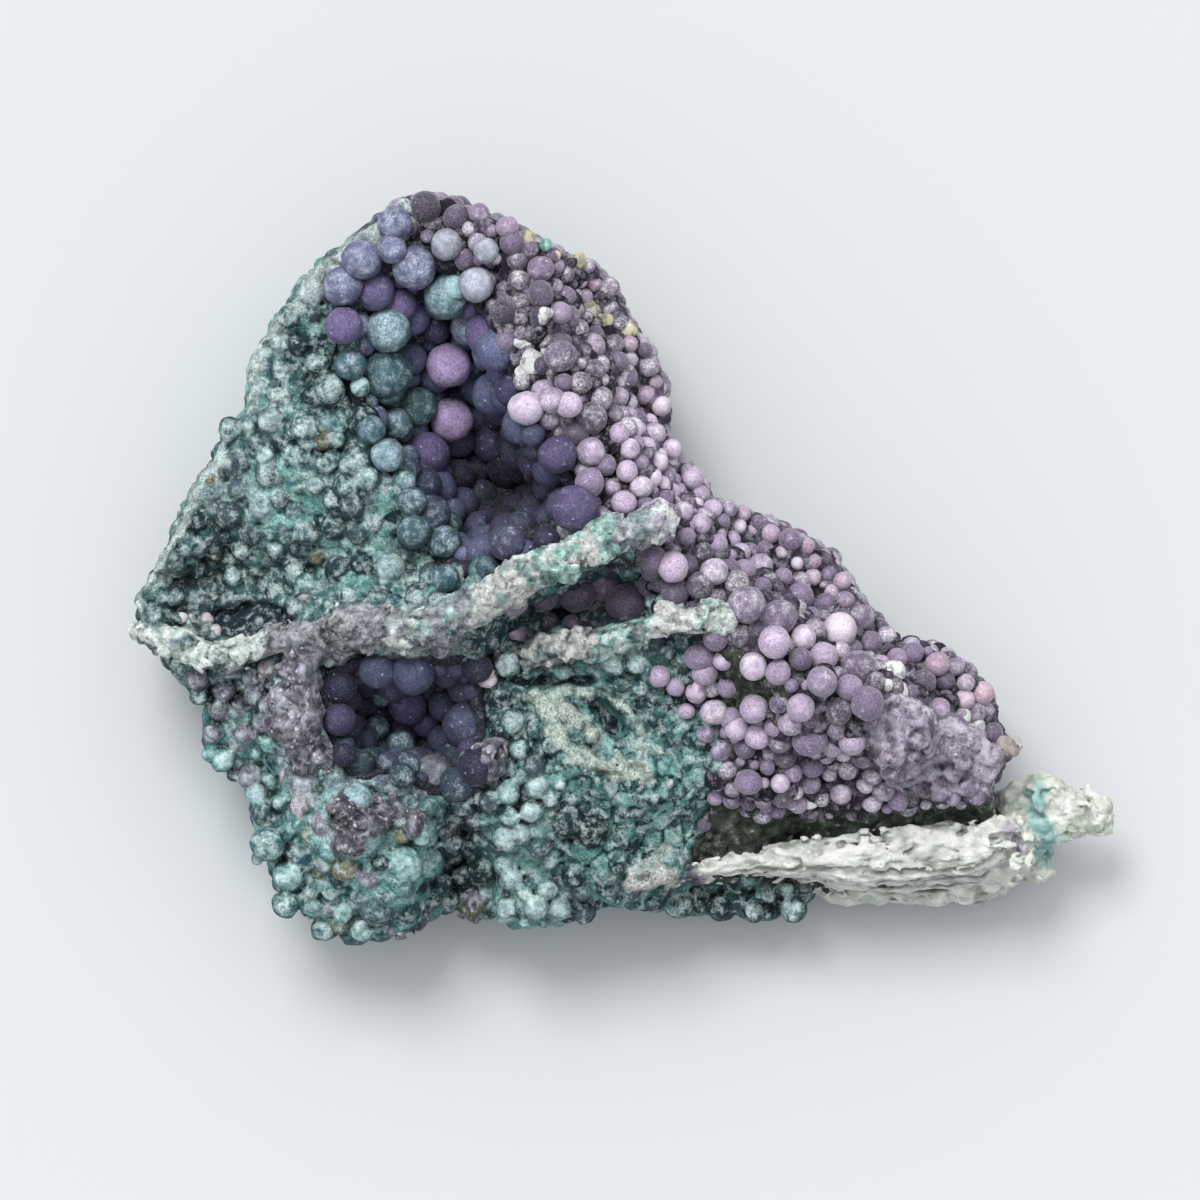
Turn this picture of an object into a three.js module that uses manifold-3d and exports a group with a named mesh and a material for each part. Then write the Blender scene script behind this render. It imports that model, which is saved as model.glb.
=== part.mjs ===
// A hand specimen of botryoidal chalcedony, the mineral often called grape agate, 148 mm long.
// The rock carries every outer grape, ridge, ledge and spur that grew on it.
// Each of its two open hollows is lined with a crust of larger grapes.
// Millimetres, +Z up. The origin is below the middle of the specimen, in the face that it rests on.

import * as THREE from "three";
import { mergeVertices } from "three/addons/utils/BufferGeometryUtils.js";
import Module from "manifold-3d";

const wasm = await Module();
wasm.setup();

// Driving dimensions
const LENGTH = 148; // from the left edge to the tip of the spur, along X
const CRUST_GAP = 0.4; // between a crust and the rock behind it
const CRUST_THICKNESS = 1.8;
const COLUMN_TOP = 60; // above everything, where the tools that cut the hollows end
const GRAPE_LIFT = 0.35; // how far a grape's middle stands above the surface, in radii

// Places are read off a view from straight above, in its pixels, with y running down.
const LEFT_EDGE_PX = 128;
const RIGHT_EDGE_PX = 1112;
const MM_PER_PX = LENGTH / (RIGHT_EDGE_PX - LEFT_EDGE_PX);
const MIDDLE_PX = [620, 572];

// The outline of the rock without its ledge and spur, clockwise from the top in the view
const OUTLINE_PX = [
  [400, 206], [430, 199], [455, 205], [478, 216], [512, 227], [545, 250], [588, 266], [614, 288],
  [622, 316], [648, 352], [664, 392], [660, 424], [678, 462], [700, 480], [708, 504], [748, 516],
  [796, 534], [832, 558], [858, 600], [895, 642], [950, 656], [984, 686], [1002, 736], [1012, 752],
  [988, 790], [1000, 830], [985, 872], [930, 892], [864, 888], [812, 893], [800, 912], [768, 920],
  [712, 914], [660, 908], [600, 902], [560, 922], [500, 918], [452, 906], [418, 922], [385, 936],
  [345, 938], [318, 920], [284, 900], [272, 868], [256, 834], [254, 800], [236, 766], [208, 750],
  [210, 702], [182, 676], [150, 638], [138, 600], [162, 562], [178, 526], [206, 478], [224, 432],
  [250, 412], [250, 372], [278, 320], [296, 298], [320, 268], [356, 238],
];
const HUB_PX = [560, 620];

// Heights of the rock's surface in millimetres, at places in the view
const SPOT_HEIGHTS = [
  // The crest and the purple shoulder that falls away from it
  [430, 205, 38], [500, 240, 41], [530, 330, 43], [560, 395, 44], [600, 450, 43], [632, 500, 43.5],
  [620, 300, 30], [660, 400, 27], [690, 480, 28], [760, 530, 26], [830, 580, 25], [880, 630, 26],
  // The mound on the right, with the green strip below it
  [665, 545, 40], [700, 590, 39], [760, 640, 42], [800, 690, 43], [860, 700, 42], [900, 730, 40],
  [960, 740, 33], [950, 670, 28], [990, 720, 25], [760, 775, 32], [850, 792, 29], [950, 785, 27],
  [740, 830, 22], [850, 820, 20], [950, 822, 18], [800, 870, 12], [930, 870, 12],
  // The rim of the upper hollow on the left, and the blue-green wall outside it
  [398, 206, 38], [350, 240, 38], [300, 290, 36], [250, 380, 31], [205, 470, 29], [160, 550, 28],
  [140, 600, 25], [300, 400, 33], [330, 470, 33], [380, 480, 32], [400, 560, 30], [300, 520, 30],
  [200, 600, 21], [250, 590, 22], [290, 565, 25], [450, 400, 37], [440, 300, 37],
  // The wall under the long ridge
  [160, 640, 26], [230, 655, 29], [275, 637, 30], [330, 638, 32], [400, 632, 36], [460, 618, 39],
  [500, 590, 41], [535, 567, 43], [572, 554, 44], [610, 532, 44], [648, 522, 44],
  // The gap between the ridges, and the shoulder under the short ridge
  [560, 615, 20], [600, 598, 22], [628, 606, 24], [530, 625, 26], [530, 660, 31], [567, 641, 32],
  [603, 648, 35], [634, 636, 38], [666, 624, 40], [722, 620, 41], [690, 660, 36], [700, 710, 33],
  // The blue-green slab, the trench beside it and the fringe below it
  [560, 760, 34], [640, 780, 33], [600, 840, 29], [660, 850, 25], [520, 800, 29], [540, 895, 23],
  [560, 920, 18], [450, 870, 15], [462, 905, 12], [700, 908, 12], [790, 912, 11],
  // The lower left, around the lower hollow
  [230, 700, 24], [290, 720, 31], [310, 760, 29], [250, 780, 20], [350, 825, 33], [410, 815, 31],
  [380, 870, 30], [300, 880, 23], [350, 920, 21], [330, 938, 15], [400, 720, 33], [500, 720, 30],
];

// Each ridge is the broken edge of an older shell: x, y and radius in pixels, height in millimetres
const LONG_RIDGE = [
  [140, 630, 9, 27], [160, 639, 14, 30], [184, 646, 14, 31], [208, 656, 15, 32], [236, 656, 14, 33],
  [262, 642, 12, 33], [290, 636, 12, 33], [320, 640, 16, 35], [357, 624, 17, 38], [400, 630, 17, 40],
  [442, 622, 17, 42], [472, 612, 16, 43], [493, 592, 17, 44], [530, 568, 18, 46], [568, 555, 16, 47],
  [600, 536, 15, 48], [634, 525, 14, 48.5], [662, 518, 12, 48.5],
];
const SHORT_RIDGE = [
  [528, 662, 12, 33], [567, 643, 15, 35], [603, 647, 15, 38], [634, 633, 14, 40],
  [667, 621, 13, 43], [698, 613, 14, 44], [724, 620, 10, 43],
];
const DRUSE_COLUMN = [[304, 648, 15, 34], [296, 684, 17, 33], [294, 716, 26, 33], [306, 758, 15, 30]];

// The ledge: x, back edge and front edge of its flat-lying layers, in pixels, from left to right
const LEDGE_STATIONS_PX = [
  [632, 878, 885], [670, 872, 888], [703, 862, 892], [734, 851, 896], [762, 849, 895], [791, 846, 890],
  [815, 838, 898], [840, 836, 911], [876, 833, 905], [922, 829, 908], [955, 826, 911], [982, 824, 908],
  [1005, 823, 898], [1022, 824, 893], [1036, 846, 882],
];
const LEDGE_ROOT_PX = 26; // how far each layer is rooted behind its back edge
const LEDGE_LAYERS = [
  { bottom: 17.5, top: 23.5, reach: 0.5, first: 1, last: 14 },
  { bottom: 13, top: 18, reach: 0.74, first: 2, last: 15 },
  { bottom: 9, top: 13.5, reach: 0.9, first: 2, last: 14 },
  { bottom: 6, top: 9.5, reach: 1, first: 5, last: 13 },
];

// Lumps are x, y and radius in pixels, with the height of the middle in millimetres
const SPUR_LUMPS = [
  [1016, 806, 17, 16], [1045, 792, 20, 17], [1044, 826, 22, 15], [1075, 820, 23, 15], [1097, 817, 15, 14],
  [1022, 852, 24, 14], [1040, 868, 14, 10],
];

// Grapes with their places read off the view: x, y and radius in pixels
const CREST_GRAPES_PX = [
  [428, 212, 17], [470, 224, 14], [508, 234, 14], [541, 270, 15], [585, 274, 13], [609, 292, 12],
  [561, 340, 18], [600, 345, 14], [645, 356, 12], [594, 378, 14], [630, 386, 15], [660, 404, 12],
  [527, 410, 18], [566, 406, 16], [619, 432, 14], [591, 450, 16], [656, 440, 14], [590, 486, 17],
  [636, 484, 15], [664, 484, 14], [694, 484, 13], [700, 524, 14], [732, 516, 13],
];
const MOUND_GRAPES_PX = [
  [790, 544, 14], [762, 534, 13], [717, 549, 15], [748, 566, 15], [815, 570, 14], [653, 560, 16],
  [674, 568, 18], [678, 598, 16], [708, 584, 16], [746, 604, 20], [778, 617, 18], [846, 588, 14],
  [840, 626, 19], [870, 624, 15], [773, 646, 18], [806, 650, 16], [715, 644, 16], [702, 674, 18],
  [718, 706, 16], [754, 708, 18], [752, 738, 16], [809, 740, 18], [898, 654, 16], [940, 668, 18],
  [857, 668, 19], [820, 681, 18], [860, 704, 19], [922, 692, 16], [960, 688, 14], [984, 698, 15],
  [994, 736, 13], [742, 776, 18], [790, 780, 17], [836, 780, 17], [884, 776, 17],
];
const GAP_GRAPES_PX = [
  [600, 584, 18], [628, 604, 23], [574, 598, 20], [514, 602, 17], [549, 626, 15], [613, 662, 14],
];
const LOWER_GRAPES_PX = [
  [515, 724, 17], [500, 794, 18], [538, 792, 18], [505, 842, 16], [532, 838, 14], [479, 870, 16],
  [512, 880, 16], [544, 888, 15], [536, 910, 14], [564, 908, 15], [476, 904, 16], [582, 880, 17],
  [679, 906, 16], [568, 821, 17], [436, 842, 17], [200, 686, 16], [226, 696, 17], [254, 676, 14],
  [218, 756, 17], [242, 736, 16], [254, 782, 17], [292, 798, 18], [268, 844, 18], [299, 860, 16],
  [288, 884, 17], [320, 928, 15], [354, 828, 28], [408, 818, 26], [369, 909, 19], [396, 876, 18],
  [795, 912, 14], [750, 912, 15],
];

// Larger lumps over the parts where single grapes are hard to tell apart, on a jittered grid
const TEAL_WALL_PX = [
  [262, 372], [330, 370], [350, 440], [372, 500], [430, 560], [380, 600], [300, 605], [190, 600],
  [152, 596], [185, 530], [222, 470],
];
const SLAB_PX = [[610, 690], [690, 700], [716, 790], [690, 860], [620, 872], [560, 870], [556, 780]];
const WALL_LUMP_PITCH_PX = 54;
const WALL_LUMP_RADIUS_PX = 22;

// Each hollow: its rim and deepest place in the view, its floor in millimetres, how it curves, its grapes
const UPPER_HOLLOW = {
  deepest: [506, 488],
  floor: 9,
  curve: 1.6,
  rim: [
    [420, 236], [455, 258], [482, 296], [502, 335], [517, 372], [532, 412], [550, 442], [572, 468],
    [592, 500], [586, 520], [556, 535], [520, 550], [490, 566], [462, 582], [440, 568], [420, 536],
    [398, 500], [376, 462], [356, 425], [342, 385], [334, 345], [336, 300], [354, 264], [385, 240],
  ],
  grapes: [
    [389, 331, 23], [449, 365, 23], [451, 419, 22], [427, 454, 22], [496, 394, 23], [498, 450, 23],
    [548, 458, 18], [469, 326, 20], [449, 298, 21], [450, 252, 15], [415, 270, 21], [374, 268, 19],
    [352, 296, 18], [352, 332, 18], [358, 366, 18], [392, 376, 20], [416, 406, 21], [386, 428, 20],
    [392, 466, 18], [460, 484, 18], [481, 529, 19], [512, 540, 19], [446, 540, 17], [418, 506, 17],
    [572, 508, 20], [540, 510, 16], [490, 500, 15],
  ],
};
const LOWER_HOLLOW = {
  deepest: [408, 724],
  floor: 8,
  curve: 2.4,
  rim: [
    [324, 668], [352, 653], [400, 656], [440, 650], [474, 652], [490, 672], [488, 702], [492, 735],
    [484, 770], [470, 800], [440, 802], [412, 790], [385, 776], [358, 786], [334, 768], [322, 735],
    [318, 700],
  ],
  grapes: [
    [413, 672, 20], [450, 672, 17], [407, 706, 19], [443, 708, 17], [352, 686, 20], [352, 727, 19],
    [466, 725, 20], [433, 772, 20], [474, 762, 18], [386, 742, 17], [364, 762, 16],
  ],
};

const ROCK_COLOUR = 0x6f8389;
const CRUST_COLOUR = 0x6a668f;

function toSolid(geometry) {
  geometry.deleteAttribute("normal");
  geometry.deleteAttribute("uv");
  const merged = mergeVertices(geometry);
  return new wasm.Manifold(new wasm.Mesh({
    numProp: 3,
    vertProperties: new Float32Array(merged.attributes.position.array),
    triVerts: new Uint32Array(merged.index.array),
  }));
}

function toGeometry(solid) {
  const mesh = solid.getMesh();
  const geometry = new THREE.BufferGeometry();
  geometry.setAttribute("position", new THREE.BufferAttribute(mesh.vertProperties, 3));
  geometry.setIndex(new THREE.BufferAttribute(mesh.triVerts, 1));
  geometry.computeVertexNormals();
  return geometry;
}

function place([px, py]) {
  return new THREE.Vector2((px - MIDDLE_PX[0]) * MM_PER_PX, (MIDDLE_PX[1] - py) * MM_PER_PX);
}

const SPOTS = SPOT_HEIGHTS.map(([px, py, height]) => ({ at: place([px, py]), height }));
const SPOT_SOFTNESS = 3; // millimetres over which the nearest spot height gives way to the next ones

// The rock's surface height at a place, weighed from the spot heights around it
function surfaceHeight(at) {
  let sum = 0;
  let weights = 0;
  for (const spot of SPOTS) {
    const weight = (spot.at.distanceToSquared(at) + SPOT_SOFTNESS ** 2) ** -2;
    sum += weight * spot.height;
    weights += weight;
  }
  return sum / weights;
}

// How far a closed outline lies from a hub inside it, in the direction of a turn
function reachOf(outline, hub, turn) {
  const ray = new THREE.Vector2(Math.cos(turn), Math.sin(turn));
  let reach = 0;
  outline.forEach((from, index) => {
    const a = from.clone().sub(hub);
    const b = outline[(index + 1) % outline.length].clone().sub(hub);
    const edge = b.clone().sub(a);
    const across = ray.cross(edge);
    const along = a.cross(edge) / across;
    const share = a.cross(ray) / across;
    if (across !== 0 && share >= 0 && share <= 1) {
      reach = Math.max(reach, along);
    }
  });
  return reach;
}

// A sphere's mesh with every ring and spoke moved to where pointAt(turn, ring) says
function loft(spokes, rings, pointAt) {
  const geometry = new THREE.SphereGeometry(1, spokes, rings).rotateX(Math.PI / 2);
  const position = geometry.attributes.position;
  for (let index = 0; index < position.count; index += 1) {
    const height = THREE.MathUtils.clamp(position.getZ(index), -1, 1);
    const ring = Math.round((Math.acos(height) / Math.PI) * rings);
    const spoke = Math.round((Math.atan2(position.getY(index), position.getX(index)) * spokes) / (2 * Math.PI));
    const turn = (((spoke + spokes) % spokes) * 2 * Math.PI) / spokes;
    position.setXYZ(index, ...pointAt(turn, ring));
  }
  return toSolid(geometry);
}

// The rock's mass: a top that follows the spot heights, flanks that fall to a smaller flat base
const TOP_RINGS = [0, 0.14, 0.27, 0.4, 0.53, 0.66, 0.78, 0.89, 0.98];
const FLANK_RINGS = [
  { reach: 1, height: 0.74 }, { reach: 0.975, height: 0.42 }, { reach: 0.91, height: 0.16 },
  { reach: 0.82, height: 0 },
];
const ROCK_SPOKES = 46;

function rockMass() {
  const outline = OUTLINE_PX.map(place);
  const hub = place(HUB_PX);
  const rings = TOP_RINGS.length + FLANK_RINGS.length;
  return loft(ROCK_SPOKES, rings, (turn, ring) => {
    const reach = reachOf(outline, hub, turn);
    const out = new THREE.Vector2(Math.cos(turn), Math.sin(turn));
    if (ring < TOP_RINGS.length) {
      const at = hub.clone().addScaledVector(out, reach * TOP_RINGS[ring]);
      return [at.x, at.y, surfaceHeight(at)];
    }
    if (ring === rings) {
      return [hub.x, hub.y, 0];
    }
    const flank = FLANK_RINGS[ring - TOP_RINGS.length];
    const shoulder = hub.clone().addScaledVector(out, reach * TOP_RINGS.at(-1));
    const at = hub.clone().addScaledVector(out, reach * flank.reach);
    return [at.x, at.y, surfaceHeight(shoulder) * flank.height];
  });
}

// A lump with flat faces, turned differently from its neighbours
const GOLDEN_TURN = 2.39996;
const LARGE_LUMP = 2.9; // the radius from which a lump gets more faces
let lumpCount = 0;

function lump(centre, radius) {
  const large = radius >= LARGE_LUMP;
  const geometry = large ? new THREE.OctahedronGeometry(radius, 1) : new THREE.IcosahedronGeometry(radius, 0);
  lumpCount += 1;
  geometry.rotateX(lumpCount * GOLDEN_TURN);
  geometry.rotateY(lumpCount * GOLDEN_TURN * GOLDEN_TURN);
  geometry.translate(centre.x, centre.y, centre.z);
  return toSolid(geometry);
}

function grapesOn(grapes, heightAt) {
  return grapes.map(([px, py, radiusPx]) => {
    const at = place([px, py]);
    const radius = radiusPx * MM_PER_PX;
    return lump(new THREE.Vector3(at.x, at.y, heightAt(at) + GRAPE_LIFT * radius), radius);
  });
}

function lumpsAt(lumps) {
  return lumps.map(([px, py, radiusPx, height]) => {
    const at = place([px, py]);
    return lump(new THREE.Vector3(at.x, at.y, height), radiusPx * MM_PER_PX);
  });
}

// A ridge is a bar along its points, six-sided and rooted in the rock, with its flat ends closed
const RIDGE_SIDES = 6;
const RIDGE_ROOT = 5; // how much deeper its underside goes than its radius, less towards its end

function ridge(points) {
  const steps = points.length - 1;
  const geometry = new THREE.CylinderGeometry(1, 1, steps, RIDGE_SIDES, steps);
  const position = geometry.attributes.position;
  const middles = points.map(([px, py, , height]) => {
    const at = place([px, py]);
    return new THREE.Vector3(at.x, at.y, height);
  });
  const path = new THREE.CatmullRomCurve3(middles);
  for (let index = 0; index < position.count; index += 1) {
    const step = Math.round(position.getY(index) + steps / 2);
    const tangent = path.getTangent(step / steps);
    const sideways = new THREE.Vector3(0, 0, 1).cross(tangent).normalize();
    const upwards = tangent.clone().cross(sideways);
    const radius = points[step][2] * MM_PER_PX;
    const root = position.getX(index) < -0.1 ? RIDGE_ROOT * (1 - step / steps) : 0;
    const at = middles[step].clone();
    at.addScaledVector(sideways, position.getZ(index) * radius);
    at.addScaledVector(upwards, position.getX(index) * radius);
    position.setXYZ(index, at.x, at.y, at.z - root);
  }
  return toSolid(geometry);
}

function ledgeLayer({ bottom, top, reach, first, last }) {
  const stations = LEDGE_STATIONS_PX.slice(first, last);
  const back = stations.map(([px, backEdge]) => place([px, backEdge - LEDGE_ROOT_PX]));
  const front = stations.map(([px, backEdge, frontEdge]) => {
    return place([px, backEdge + (frontEdge - backEdge) * reach]);
  });
  const shape = new THREE.Shape([...back, ...front.reverse()]);
  const geometry = new THREE.ExtrudeGeometry(shape, { depth: top - bottom, bevelEnabled: false });
  geometry.translate(0, 0, bottom);
  return toSolid(geometry);
}

function inside(outline, at) {
  let crossings = 0;
  outline.forEach((a, index) => {
    const b = outline[(index + 1) % outline.length];
    const spans = a.y > at.y !== b.y > at.y;
    if (spans && at.x < a.x + ((at.y - a.y) * (b.x - a.x)) / (b.y - a.y)) {
      crossings += 1;
    }
  });
  return crossings % 2 === 1;
}

// Lumps over a region of the surface, in rows, each pushed off its place by a fixed pattern
function wallLumps(regionPx) {
  const region = regionPx.map(place);
  const box = new THREE.Box2().setFromPoints(region);
  const pitch = WALL_LUMP_PITCH_PX * MM_PER_PX;
  const lumps = [];
  for (let row = 0; box.min.y + row * pitch < box.max.y; row += 1) {
    for (let column = 0; box.min.x + column * pitch < box.max.x; column += 1) {
      const wander = Math.sin(row * 12.9 + column * 78.2);
      const at = new THREE.Vector2(
        box.min.x + (column + (row % 2) / 2 + 0.25 * wander) * pitch,
        box.min.y + (row + 0.25 * Math.cos(row * 39.3 + column * 11.1)) * pitch,
      );
      const radius = WALL_LUMP_RADIUS_PX * MM_PER_PX * (1 + 0.2 * wander);
      if (inside(region, at)) {
        lumps.push(lump(new THREE.Vector3(at.x, at.y, surfaceHeight(at)), radius));
      }
    }
  }
  return lumps;
}

// Grapes around the flanks, below what the view from above shows
const FLANK_GRAPES = 18;
const FLANK_GRAPE_RADIUS = 2.2;
const FLANK_GRAPE_REACH = 0.965;

function flankGrapes() {
  const outline = OUTLINE_PX.map(place);
  const hub = place(HUB_PX);
  return Array.from({ length: FLANK_GRAPES }, (_, index) => {
    const turn = (index * 2 * Math.PI) / FLANK_GRAPES;
    const out = new THREE.Vector2(Math.cos(turn), Math.sin(turn));
    const at = hub.clone().addScaledVector(out, FLANK_GRAPE_REACH * reachOf(outline, hub, turn));
    const share = 0.34 + 0.14 * (index % 3);
    return lump(new THREE.Vector3(at.x, at.y, surfaceHeight(at) * share), FLANK_GRAPE_RADIUS);
  });
}

// A hollow is a funnel from its rim down to its deepest place, open above
const HOLLOW_SPOKES = 20;
const HOLLOW_RINGS = [1, 0.78, 0.45];

function funnelHeight(hollow, at, inset) {
  const hub = place(hollow.deepest);
  const offset = at.clone().sub(hub);
  const reach = reachOf(hollow.rim.map(place), hub, offset.angle()) - inset;
  const rim = surfaceHeight(hub.clone().add(offset.clone().setLength(reach)));
  const share = Math.min(1, offset.length() / reach);
  return hollow.floor + inset + (rim - hollow.floor) * share ** hollow.curve;
}

function hollowSpace(hollow, inset) {
  const hub = place(hollow.deepest);
  const rim = hollow.rim.map(place);
  const rings = HOLLOW_RINGS.length + 2;
  return loft(HOLLOW_SPOKES, rings, (turn, ring) => {
    if (ring === 0) {
      return [hub.x, hub.y, COLUMN_TOP];
    }
    if (ring === rings) {
      return [hub.x, hub.y, hollow.floor + inset];
    }
    const out = new THREE.Vector2(Math.cos(turn), Math.sin(turn));
    const share = ring === 1 ? 1 : HOLLOW_RINGS[ring - 2];
    const at = hub.clone().addScaledVector(out, (reachOf(rim, hub, turn) - inset) * share);
    return [at.x, at.y, ring === 1 ? COLUMN_TOP : funnelHeight(hollow, at, inset)];
  });
}

function joined(solids) {
  return solids.reduce((sum, solid) => sum.add(solid));
}

// Cutting can leave crumbs or closed pockets; only the body with the most volume is kept
function mainBody(solid) {
  return solid.decompose().reduce((largest, body) => (body.volume() > largest.volume() ? body : largest));
}

function makeRock(mass) {
  const grown = joined([
    mass,
    ridge(LONG_RIDGE),
    ridge(SHORT_RIDGE),
    ridge(DRUSE_COLUMN),
    ...LEDGE_LAYERS.map(ledgeLayer),
    ...lumpsAt(SPUR_LUMPS),
    ...grapesOn(CREST_GRAPES_PX, surfaceHeight),
    ...grapesOn(MOUND_GRAPES_PX, surfaceHeight),
    ...grapesOn(GAP_GRAPES_PX, surfaceHeight),
    ...grapesOn(LOWER_GRAPES_PX, surfaceHeight),
    ...wallLumps(TEAL_WALL_PX),
    ...wallLumps(SLAB_PX),
    ...flankGrapes(),
  ]);
  const hollowed = grown.subtract(hollowSpace(UPPER_HOLLOW, 0)).subtract(hollowSpace(LOWER_HOLLOW, 0));
  return mainBody(hollowed);
}

function makeCrust(hollow, mass) {
  const outside = hollowSpace(hollow, CRUST_GAP);
  const within = hollowSpace(hollow, CRUST_GAP + CRUST_THICKNESS);
  const skin = outside.subtract(within).intersect(mass);
  const innerFace = (at) => funnelHeight(hollow, at, CRUST_GAP + CRUST_THICKNESS);
  const grapes = joined(grapesOn(hollow.grapes, innerFace)).intersect(outside);
  return mainBody(skin.add(grapes));
}

function named(name, solid, colour) {
  const material = new THREE.MeshStandardMaterial({ color: colour, roughness: 0.6, metalness: 0 });
  const mesh = new THREE.Mesh(toGeometry(solid), material);
  mesh.name = name;
  return mesh;
}

const mass = rockMass();
const specimen = new THREE.Group();
specimen.add(named("rock", makeRock(mass), ROCK_COLOUR));
specimen.add(named("upper_hollow_crust", makeCrust(UPPER_HOLLOW, mass), CRUST_COLOUR));
specimen.add(named("lower_hollow_crust", makeCrust(LOWER_HOLLOW, mass), CRUST_COLOUR));

export default specimen;
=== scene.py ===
import math

import bmesh
import bpy
import numpy as np
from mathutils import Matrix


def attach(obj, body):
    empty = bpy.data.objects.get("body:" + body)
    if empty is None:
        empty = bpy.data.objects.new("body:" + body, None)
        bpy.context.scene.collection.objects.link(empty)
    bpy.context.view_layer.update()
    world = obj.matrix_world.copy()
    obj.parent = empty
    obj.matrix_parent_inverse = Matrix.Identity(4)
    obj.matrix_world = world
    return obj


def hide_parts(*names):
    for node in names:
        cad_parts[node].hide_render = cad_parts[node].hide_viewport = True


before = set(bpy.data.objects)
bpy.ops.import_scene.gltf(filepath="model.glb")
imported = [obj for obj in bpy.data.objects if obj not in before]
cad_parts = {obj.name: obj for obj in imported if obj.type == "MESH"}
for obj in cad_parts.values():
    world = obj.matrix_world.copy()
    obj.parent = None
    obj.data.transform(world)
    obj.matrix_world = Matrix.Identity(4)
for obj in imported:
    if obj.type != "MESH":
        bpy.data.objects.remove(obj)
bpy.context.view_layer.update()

import openvdb as vdb
from mathutils import Vector

# The specimen is shaped in millimetres and turned to metres when a mesh is made.
# Places are read off the photograph, which looks straight down, in its 1200-pixel frame.
MM = 0.001
LENGTH = 148.0
LEFT_EDGE_PX, RIGHT_EDGE_PX = 128, 1112
MM_PER_PX = LENGTH / (RIGHT_EDGE_PX - LEFT_EDGE_PX)
MIDDLE_PX = (620, 572)
PHOTO_PX = 1200

# How finely each kind of surface is meshed, in millimetres
ROCK_STEP = 0.9
FINE_STEP = 0.36
COARSE_STEP = 0.3
QUICK_FACTOR = 1.0


def srgb(red, green, blue):
    """Linear colour values from the 0 to 255 ones that screens use."""
    values = np.array([red, green, blue]) / 255.0
    return np.where(values <= 0.04045, values / 12.92, ((values + 0.055) / 1.055) ** 2.4)


LILAC = srgb(202, 190, 212)
PURPLE = srgb(138, 122, 152)
DARK_PURPLE = srgb(60, 52, 74)
HOLLOW_DEEP = srgb(36, 28, 58)
TEAL = srgb(80, 136, 136)
DARK_TEAL = srgb(36, 66, 74)
MINT = srgb(150, 210, 200)
WHITE_MINT = srgb(214, 234, 226)
CREAM = srgb(230, 232, 228)
LEDGE_SHADE = srgb(150, 154, 148)
VEIN_WHITE = srgb(224, 238, 226)
EDGE_WHITE = srgb(222, 240, 238)
MOSS = srgb(68, 80, 66)
OCHRE = srgb(150, 130, 96)
DRUSE_GREY = srgb(142, 142, 156)
DRUSE_PURPLE = srgb(162, 149, 177)
WHITE_LILAC = srgb(224, 214, 232)
DUSTY_PINK = srgb(208, 180, 194)
PALE_LILAC = srgb(216, 196, 224)
# Dark navy used as painted shade in the pits
PIT_SHADE = srgb(36, 52, 66)
CRACK_DARK = srgb(26, 52, 56)
LOBE_GREEN = srgb(192, 204, 190)
SPUR_CREAM = srgb(242, 246, 236)
BAND_BLUE = srgb(158, 212, 212)
BAND_WHITE = srgb(214, 238, 238)
GLINT = (0.7, 0.78, 0.78)
FLOOR_COLOUR = srgb(203, 207, 210)

# The rock's outline without its ledge and spur, clockwise from the top in the view
OUTLINE_PX = [
    (400, 206), (430, 199), (455, 205), (478, 216), (512, 227), (545, 250), (588, 266), (614, 288),
    (622, 316), (648, 352), (664, 392), (660, 424), (678, 462), (700, 480), (708, 504), (748, 516),
    (796, 534), (832, 558), (858, 600), (895, 642), (950, 656), (984, 686), (1002, 736), (1012, 752),
    (988, 790), (1000, 830), (985, 872), (930, 892), (864, 888), (812, 893), (800, 912), (768, 920),
    (712, 914), (660, 908), (600, 902), (560, 922), (500, 918), (452, 906), (418, 922), (385, 936),
    (345, 938), (318, 920), (284, 900), (272, 868), (256, 834), (254, 800), (236, 766), (208, 750),
    (210, 702), (182, 676), (150, 638), (138, 600), (162, 562), (178, 526), (206, 478), (224, 432),
    (250, 412), (250, 372), (278, 320), (296, 298), (320, 268), (356, 238),
]
HUB_PX = (560, 620)

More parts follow.
